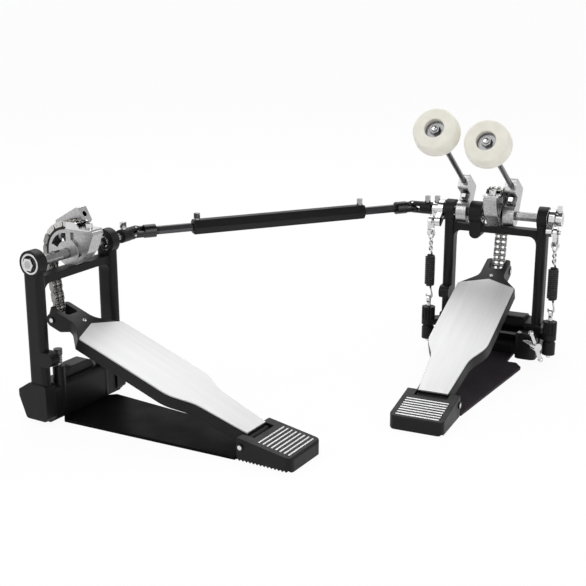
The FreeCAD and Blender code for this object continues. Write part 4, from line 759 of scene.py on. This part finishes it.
class PEDAL_OT_return_springs(Operator):
    """Wind the return springs, with hooks and foam cores"""
    bl_idname = "pedal.return_springs"
    bl_label = "Return Springs"

    def execute(self, context):
        sizes = context.scene.pedal_sizes
        colours = context.scene.pedal_finishes
        black = powder_coat("blackened_spring", lighter(colours.rod, -0.8), colours.rod)
        bright = plated("hook_steel", colours.chrome, 0.12, 0.24, colours.crevice_shade, 2 * MM)
        foam = soft_rubber("spring_core_foam", colours.rubber)
        lower_length, upper_length, bright_end = 16.2 * MM, 31.0 * MM, 2 * MM
        eye_wall, bar_radius = 1.2 * MM, 1.7 * MM
        for side in ("right", "left"):
            node = side + "_return_spring"
            spot = joint_place(side + "_adjuster_turn")[0]
            foot, head = node_span(node, UP)
            coil_low, coil_high = foot + lower_length, head - upper_length
            bottom, top = (spot.x, spot.y, coil_low), (spot.x, spot.y, coil_high)
            eye = node_span("spring_eye_bolts", UP)[1] - eye_wall
            bar = node_span(side + "_spring_link", UP)[0] + bar_radius
            path = spring_path(spot, eye, bar, coil_low, coil_high, sizes)
            spring = piece_from(side + "_spring", lambda built: swept(
                built, path, sizes.wire_radius, sides=10), black, None)
            spring.data.materials.append(bright)
            for face in spring.data.polygons:
                if not coil_low - bright_end < face.center.z < coil_high + bright_end:
                    face.material_index = 1
            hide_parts(node)
            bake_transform(spring)
            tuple(bottom)
            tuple(top)
            space = Matrix.Translation((spot.x, spot.y, 0))
            shape = core_outline(coil_low, coil_high, sizes)
            core = piece_from(side + "_spring_core", lambda built: lathe(
                built, space, shape, steps=20), foam, None)
            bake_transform(core)
            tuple(bottom)
            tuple(top)
        return {"FINISHED"}


def core_outline(low, high, sizes):
    """Half section of a foam core, which stops short of the coil's ends."""
    corner, inset, wall_steps = 1 * MM, 4 * sizes.wire_radius, 12
    wide = sizes.core_radius
    wall = [(wide, low + (high - low) * step / wall_steps, 0) for step in range(2, wall_steps - 1)]
    return rounded([(0, low + inset, 0), (wide, low + inset, corner), *wall,
                    (wide, high - inset, corner), (0, high - inset, 0)])


def smooth(share):
    """A share from 0 to 1 that starts and stops gently."""
    return share * share * (3 - 2 * share)


def spring_path(spot, eye, bar, coil_low, coil_high, sizes):
    """Points of one wire: lower hook, coil, doubled upper hook."""
    def around(radius, turn, height):
        """Point at a radius and a turn about the spring's middle line."""
        return Vector((spot.x + radius * math.cos(turn), spot.y + radius * math.sin(turn), height))

    hook = lower_hook(around, eye)
    coil = drawn_coil(around, coil_low, coil_high, sizes)
    rise = eased(hook[-1], UP, coil[0], (coil[1] - coil[0]).normalized())
    return hook + rise + coil + upper_hook(around, coil_high, bar, sizes.twist_radius)


def lower_hook(around, eye):
    """Open ring through the eye bolt, from the wire's free end."""
    bend, sweep, steps = 3.48 * MM, math.radians(205), 12
    points = []
    for step in range(steps + 1):
        turn = sweep * (1 - step / steps)
        points.append(around(bend * math.cos(turn), 0, eye - bend * math.sin(turn)))
    return points


def drawn_coil(around, low, high, sizes):
    """Coil whose end turns are drawn in towards the hooks."""
    thin, drawn_in_turns, turn_steps = sizes.twist_radius, 1.25, 20
    steps = sizes.coil_turns * turn_steps
    points = []
    for step in range(steps + 1):
        from_end = min(step, steps - step) / turn_steps
        share = smooth(min(1, from_end / drawn_in_turns))
        points.append(around(thin + (sizes.coil_radius - thin) * share,
                             2 * math.pi * step / turn_steps,
                             low + (high - low) * step / steps))
    return points


def upper_hook(around, foot, bar, thin):
    """Wire that rises to the link's bar, bends over it and winds back down beside itself."""
    bend, flare, twist_turns = 4.02 * MM, 6 * MM, 1.5
    twist_steps, flare_steps, bend_steps, tail_start = 30, 8, 16, 5
    top = bar - flare
    twist = []
    for step in range(1, twist_steps + 1):
        share = step / twist_steps
        twist.append((2 * math.pi * twist_turns * share, foot + (top - foot) * share))
    spread = []
    for step in range(1, flare_steps + 1):
        share = step / flare_steps
        spread.append((thin + (bend - thin) * smooth(share), top + flare * share))
    points = [around(thin, turn, height) for turn, height in twist]
    points += [around(-radius, 0, height) for radius, height in spread]
    for step in range(1, bend_steps):
        turn = math.pi * (1 - step / bend_steps)
        points.append(around(bend * math.cos(turn), 0, bar + bend * math.sin(turn)))
    points += [around(radius, 0, height) for radius, height in reversed(spread)]
    points += [around(thin, turn + math.pi, height)
               for turn, height in reversed(twist[tail_start:])]
    return points


def eased(start, start_way, stop, stop_way, steps=14):
    """Points strictly between two ends, leaving and arriving along given directions."""
    pull_share = 0.9
    reach = (stop - start).length * pull_share
    points = []
    for step in range(1, steps):
        on, back = step / steps, 1 - step / steps
        points.append(start * smooth(back) + stop * smooth(on)
                      + start_way * reach * on * back ** 2 - stop_way * reach * on ** 2 * back)
    return points


class PEDAL_OT_cam_felts(Operator):
    """Lay the dark felt strip over each cam's rim, under the chain"""
    bl_idname = "pedal.cam_felts"
    bl_label = "Cam Felts"

    def execute(self, context):
        sizes = context.scene.pedal_sizes
        felt = soft_rubber("cam_strip_felt", context.scene.pedal_finishes.rubber)
        rim, side_face, lip, drop = 26.05 * MM, 7.55 * MM, 0.45 * MM, 1.5 * MM
        outside, top = side_face + lip, sizes.cam_felt
        half = ((side_face - lip, top), (outside, top / 2), (outside, -drop), (side_face, -drop),
                (side_face, 0))
        section = half + tuple((-x, height) for x, height in reversed(half))
        low_turn, sweep, steps = math.radians(-8), math.radians(96), 32
        for side, space in (("main", MAIN_SPACE), ("second", SECOND_SPACE)):

            def build(built, space=space):
                rows = []
                for step in range(steps + 1):
                    turn = low_turn + sweep * step / steps
                    outward = Vector((0, math.cos(turn), math.sin(turn)))
                    rows.append([built.verts.new(space @ (
                        Vector((x, 0, 0)) + outward * (rim + height))) for x, height in section])
                for low, high in zip(rows, rows[1:]):
                    for index in range(len(low)):
                        after = (index + 1) % len(low)
                        built.faces.new((low[index], low[after], high[after], high[index]))
                built.faces.new(rows[0])
                built.faces.new(rows[-1])

            strip = piece_from(side + "_cam_felt", build, felt, side + "_axle")
        return {"FINISHED"}


class PEDAL_OT_bearing_rings(Operator):
    """Set the bright ring that keeps each bearing in its housing"""
    bl_idname = "pedal.bearing_rings"
    bl_label = "Bearing Rings"

    def execute(self, context):
        colours = context.scene.pedal_finishes
        housing = context.scene.pedal_sizes.housing_reach
        steel = plated("ring_steel", colours.chrome, 0.14, 0.26, colours.crevice_shade, 1 * MM)
        inner, outer, depth, proud = 8.7 * MM, 10.85 * MM, 2.3 * MM, 0.3 * MM
        inner_round, outer_round = 0.4 * MM, 0.5 * MM
        profile = rounded([
            (inner, -depth / 2, 0), (inner, -depth, 0), (outer, -depth, 0),
            (outer, proud, outer_round), (inner, proud, inner_round), (inner, -depth / 2, 0)],
            steps=4)
        for stand, space in (("main", MAIN_SPACE), ("second", SECOND_SPACE)):
            for side, sign in (("left", -1), ("right", 1)):
                mouth = space @ Matrix.Translation((sign * housing, 0, 0))
                mouth = mouth @ Matrix.Rotation(sign * math.pi / 2, 4, "Y")
                ring = piece_from(f"{stand}_{side}_bearing_ring", lambda built: closed_lathe(
                    built, mouth, profile, steps=64), steel, stand + "_stand")
        return {"FINISHED"}


class PEDAL_OT_small_screws(Operator):
    """Set the small screws in the footboards' necks and the clamp block"""
    bl_idname = "pedal.small_screws"
    bl_label = "Small Screws"

    def execute(self, context):
        sizes = context.scene.pedal_sizes
        colours = context.scene.pedal_finishes
        steel = plated("screw_steel", colours.chrome, 0.12, 0.24, colours.crevice_shade, 1 * MM)
        neck_head = sizes.screw_radius
        block_head_share = 1.25
        block = Matrix.Translation(sizes.block_screw)
        for name, space, radius, body in (
                ("main_neck_screw", neck_space("main", sizes), neck_head, "main_footboard"),
                ("second_neck_screw", neck_space("second", sizes), neck_head, "second_footboard"),
                ("clamp_block_screw", block, neck_head * block_head_share, "main_stand")):
            screw = piece_from(name, lambda built: socket_screw(built, space, radius), steel, body)
        return {"FINISHED"}


def socket_screw(built, space, head):
    """Low round head with a hexagon socket, sunk a little into what carries it."""
    socket, sunk, lead_in, sixth = head * 0.5, 0.4 * MM, 0.1 * MM, math.pi / 3
    socket_wall = socket * 1.05
    lathe(built, space, rounded([
        (0, head * 0.12, 0), (socket, head * 0.12, 0), (socket, head * 0.52, lead_in),
        (head * 0.75, head * 0.48, head * 0.3), (head, head * 0.2, head * 0.12),
        (head, -sunk, 0), (0, -sunk, 0)], steps=4), steps=30)
    inverse = space.inverted()
    for vert in built.verts:
        local = inverse @ vert.co
        if 0 < math.hypot(local.x, local.y) < socket_wall:
            turn = math.atan2(local.y, local.x) % sixth - sixth / 2
            flat = math.cos(sixth / 2) / math.cos(turn)
            vert.co = space @ Vector((local.x * flat, local.y * flat, local.z))


def neck_space(side, sizes):
    """Space on top of a footboard's neck, Z square to the board."""
    screw_inset = 30 * MM
    heel = joint_place(side + "_press")[0]
    toe = joint_place(side + "_chain_swing")[0]
    arm = toe - heel
    level = Vector((arm.x, arm.y, 0))
    slope = math.atan2(arm.z, level.length) + math.asin(sizes.toe_drop / arm.length)
    along = level.normalized() * math.cos(slope) + UP * math.sin(slope)
    across = along.cross(UP).normalized()
    square = across.cross(along)
    spot = heel + along * (arm.length - screw_inset) + square * sizes.deck_height
    return space_at(spot, across, along, square)


# Studio

class PEDAL_OT_stage(Operator):
    """Set the floor, the soft light and the camera"""
    bl_idname = "pedal.stage"
    bl_label = "Stage"

    def execute(self, context):
        studio = context.scene.pedal_studio
        context.scene.view_settings.view_transform = "Standard"
        make_floor(pale_floor("pale_floor", studio.floor))
        make_daylight(context.scene, studio)
        make_lamp("key_softbox", place=(-0.9, -1.5, 1.7), target=(-0.15, -0.2, 0.1),
                  size=1.3, watts=12)
        make_lamp("top_softbox", place=(-0.55, 0.75, 1.5), target=(-0.15, -0.15, 0.0),
                  size=1.2, watts=12)
        make_lamp("side_softbox", place=(1.5, -0.7, 0.9), target=(0.0, -0.1, 0.15),
                  size=0.9, watts=5)
        camera = bpy.data.objects.new("camera", bpy.data.cameras.new("camera"))
        context.collection.objects.link(camera)
        camera.location = studio.camera_place
        camera.rotation_euler = (math.pi / 2 + studio.camera_pitch, 0, studio.camera_yaw)
        camera.data.lens = studio.lens
        camera.data.sensor_width = 36
        camera.data.clip_start = 0.01
        context.scene.camera = camera
        return {"FINISHED"}


def seen_rays(tree):
    """1 for camera, mirror and glass rays, which meet the white background."""
    path = add_node(tree, "ShaderNodeLightPath")
    total = path.outputs["Is Camera Ray"]
    for other in ("Is Glossy Ray", "Is Transmission Ray"):
        most = add_node(tree, "ShaderNodeMath", operation="MAXIMUM")
        tree.links.new(total, most.inputs[0])
        tree.links.new(path.outputs[other], most.inputs[1])
        total = most.outputs["Value"]
    return total


def pale_floor(name, colour):
    """Dull floor that glows where it is seen, and so keeps only a soft shadow."""
    glow_share = 0.94
    finish = Finish(name, Base_Color=(*colour, 1), Roughness=0.9, Specular_IOR_Level=0)
    tree = finish.tree
    share = add_node(tree, "ShaderNodeMath", operation="MULTIPLY")
    share.inputs[1].default_value = glow_share
    mix = add_node(tree, "ShaderNodeMixShader")
    finish.link(seen_rays(tree), share.inputs[0])
    finish.link(share.outputs["Value"], mix.inputs["Fac"])
    finish.link(finish.shader.outputs["BSDF"], mix.inputs[1])
    finish.link(add_node(tree, "ShaderNodeEmission").outputs["Emission"], mix.inputs[2])
    finish.link(mix.outputs["Shader"], tree.nodes["Material Output"].inputs["Surface"])
    return finish.material


def make_floor(material):
    """Round floor that curves up into a wall."""
    flat, curve, level, curve_steps = 4.0, 2.0, -0.1 * MM, 12
    profile = [(0, level), (flat, level)]
    for step in range(1, curve_steps + 1):
        turn = math.pi / 2 * step / curve_steps
        profile.append((flat + curve * math.sin(turn), level + curve * (1 - math.cos(turn))))
    profile.append((flat + curve, 2 * curve))
    floor = piece_from("floor", lambda built: lathe(
        built, Matrix.Identity(4), profile, steps=64), material, None)


def make_daylight(scene, studio):
    """White surroundings: full strength where they are seen, softer as light."""
    wall_top, ceiling_start = 0.05, 0.6
    world = bpy.data.worlds.new("studio")
    scene.world = world
    world.use_nodes = True
    tree = world.node_tree
    light = tree.nodes["Background"]
    light.inputs["Color"].default_value = (1, 1, 1, 1)
    light.inputs["Strength"].default_value = studio.daylight
    seen = add_node(tree, "ShaderNodeBackground", {"Color": (1, 1, 1, 1)})
    way = add_node(tree, "ShaderNodeTexCoord").outputs["Generated"]
    height = add_node(tree, "ShaderNodeSeparateXYZ")
    tree.links.new(way, height.inputs["Vector"])
    fall = add_node(tree, "ShaderNodeMapRange", {
        "From Min": wall_top, "From Max": ceiling_start, "To Min": 1.0, "To Max": studio.ceiling})
    tree.links.new(height.outputs["Z"], fall.inputs["Value"])
    tree.links.new(fall.outputs["Result"], seen.inputs["Strength"])
    mix = add_node(tree, "ShaderNodeMixShader")
    tree.links.new(seen_rays(tree), mix.inputs["Fac"])
    tree.links.new(light.outputs["Background"], mix.inputs[1])
    tree.links.new(seen.outputs["Background"], mix.inputs[2])
    tree.links.new(mix.outputs["Shader"], tree.nodes["World Output"].inputs["Surface"])


def make_lamp(name, place, target, size, watts):
    """Square softbox aimed at a point."""
    lamp = bpy.data.lights.new(name, "AREA")
    lamp.size = size
    lamp.energy = watts
    holder = bpy.data.objects.new(name, lamp)
    bpy.context.collection.objects.link(holder)
    holder.location = place
    holder.rotation_euler = (Vector(target) - Vector(place)).to_track_quat("-Z", "Y").to_euler()


# Panel and registration

OPERATORS = (
    PEDAL_OT_castings, PEDAL_OT_bright_parts, PEDAL_OT_beater_heads, PEDAL_OT_return_springs,
    PEDAL_OT_cam_felts, PEDAL_OT_bearing_rings, PEDAL_OT_small_screws, PEDAL_OT_stage,
)
GROUPS = {"pedal_finishes": PedalFinishes, "pedal_sizes": PedalSizes,
          "pedal_studio": PedalStudio}


class PEDAL_PT_sidebar(Panel):
    """Steps that dress the pedal, in order"""
    bl_idname = "PEDAL_PT_sidebar"
    bl_label = "Drum Pedal"
    bl_space_type = "VIEW_3D"
    bl_region_type = "UI"
    bl_category = "Drum Pedal"

    def draw(self, context):
        for operator in OPERATORS:
            self.layout.operator(operator.bl_idname)
        for name, group in GROUPS.items():
            box = self.layout.box()
            for setting in group.__annotations__:
                box.prop(getattr(context.scene, name), setting)


def register():
    """Make the settings, the steps and the panel known."""
    for cls in (*GROUPS.values(), *OPERATORS, PEDAL_PT_sidebar):
        bpy.utils.register_class(cls)
    for name, group in GROUPS.items():
        setattr(bpy.types.Scene, name, PointerProperty(type=group))


def unregister():
    """Take the settings, the steps and the panel away again."""
    for name in GROUPS:
        delattr(bpy.types.Scene, name)
    for cls in reversed((*GROUPS.values(), *OPERATORS, PEDAL_PT_sidebar)):
        bpy.utils.unregister_class(cls)


def main():
    """Dress the pedal step by step."""
    register()
    bpy.ops.pedal.castings()
    bpy.ops.pedal.bright_parts()
    bpy.ops.pedal.beater_heads()
    bpy.ops.pedal.return_springs()
    bpy.ops.pedal.cam_felts()
    bpy.ops.pedal.bearing_rings()
    bpy.ops.pedal.small_screws()
    bpy.ops.pedal.stage()


if __name__ == "__main__":
    main()
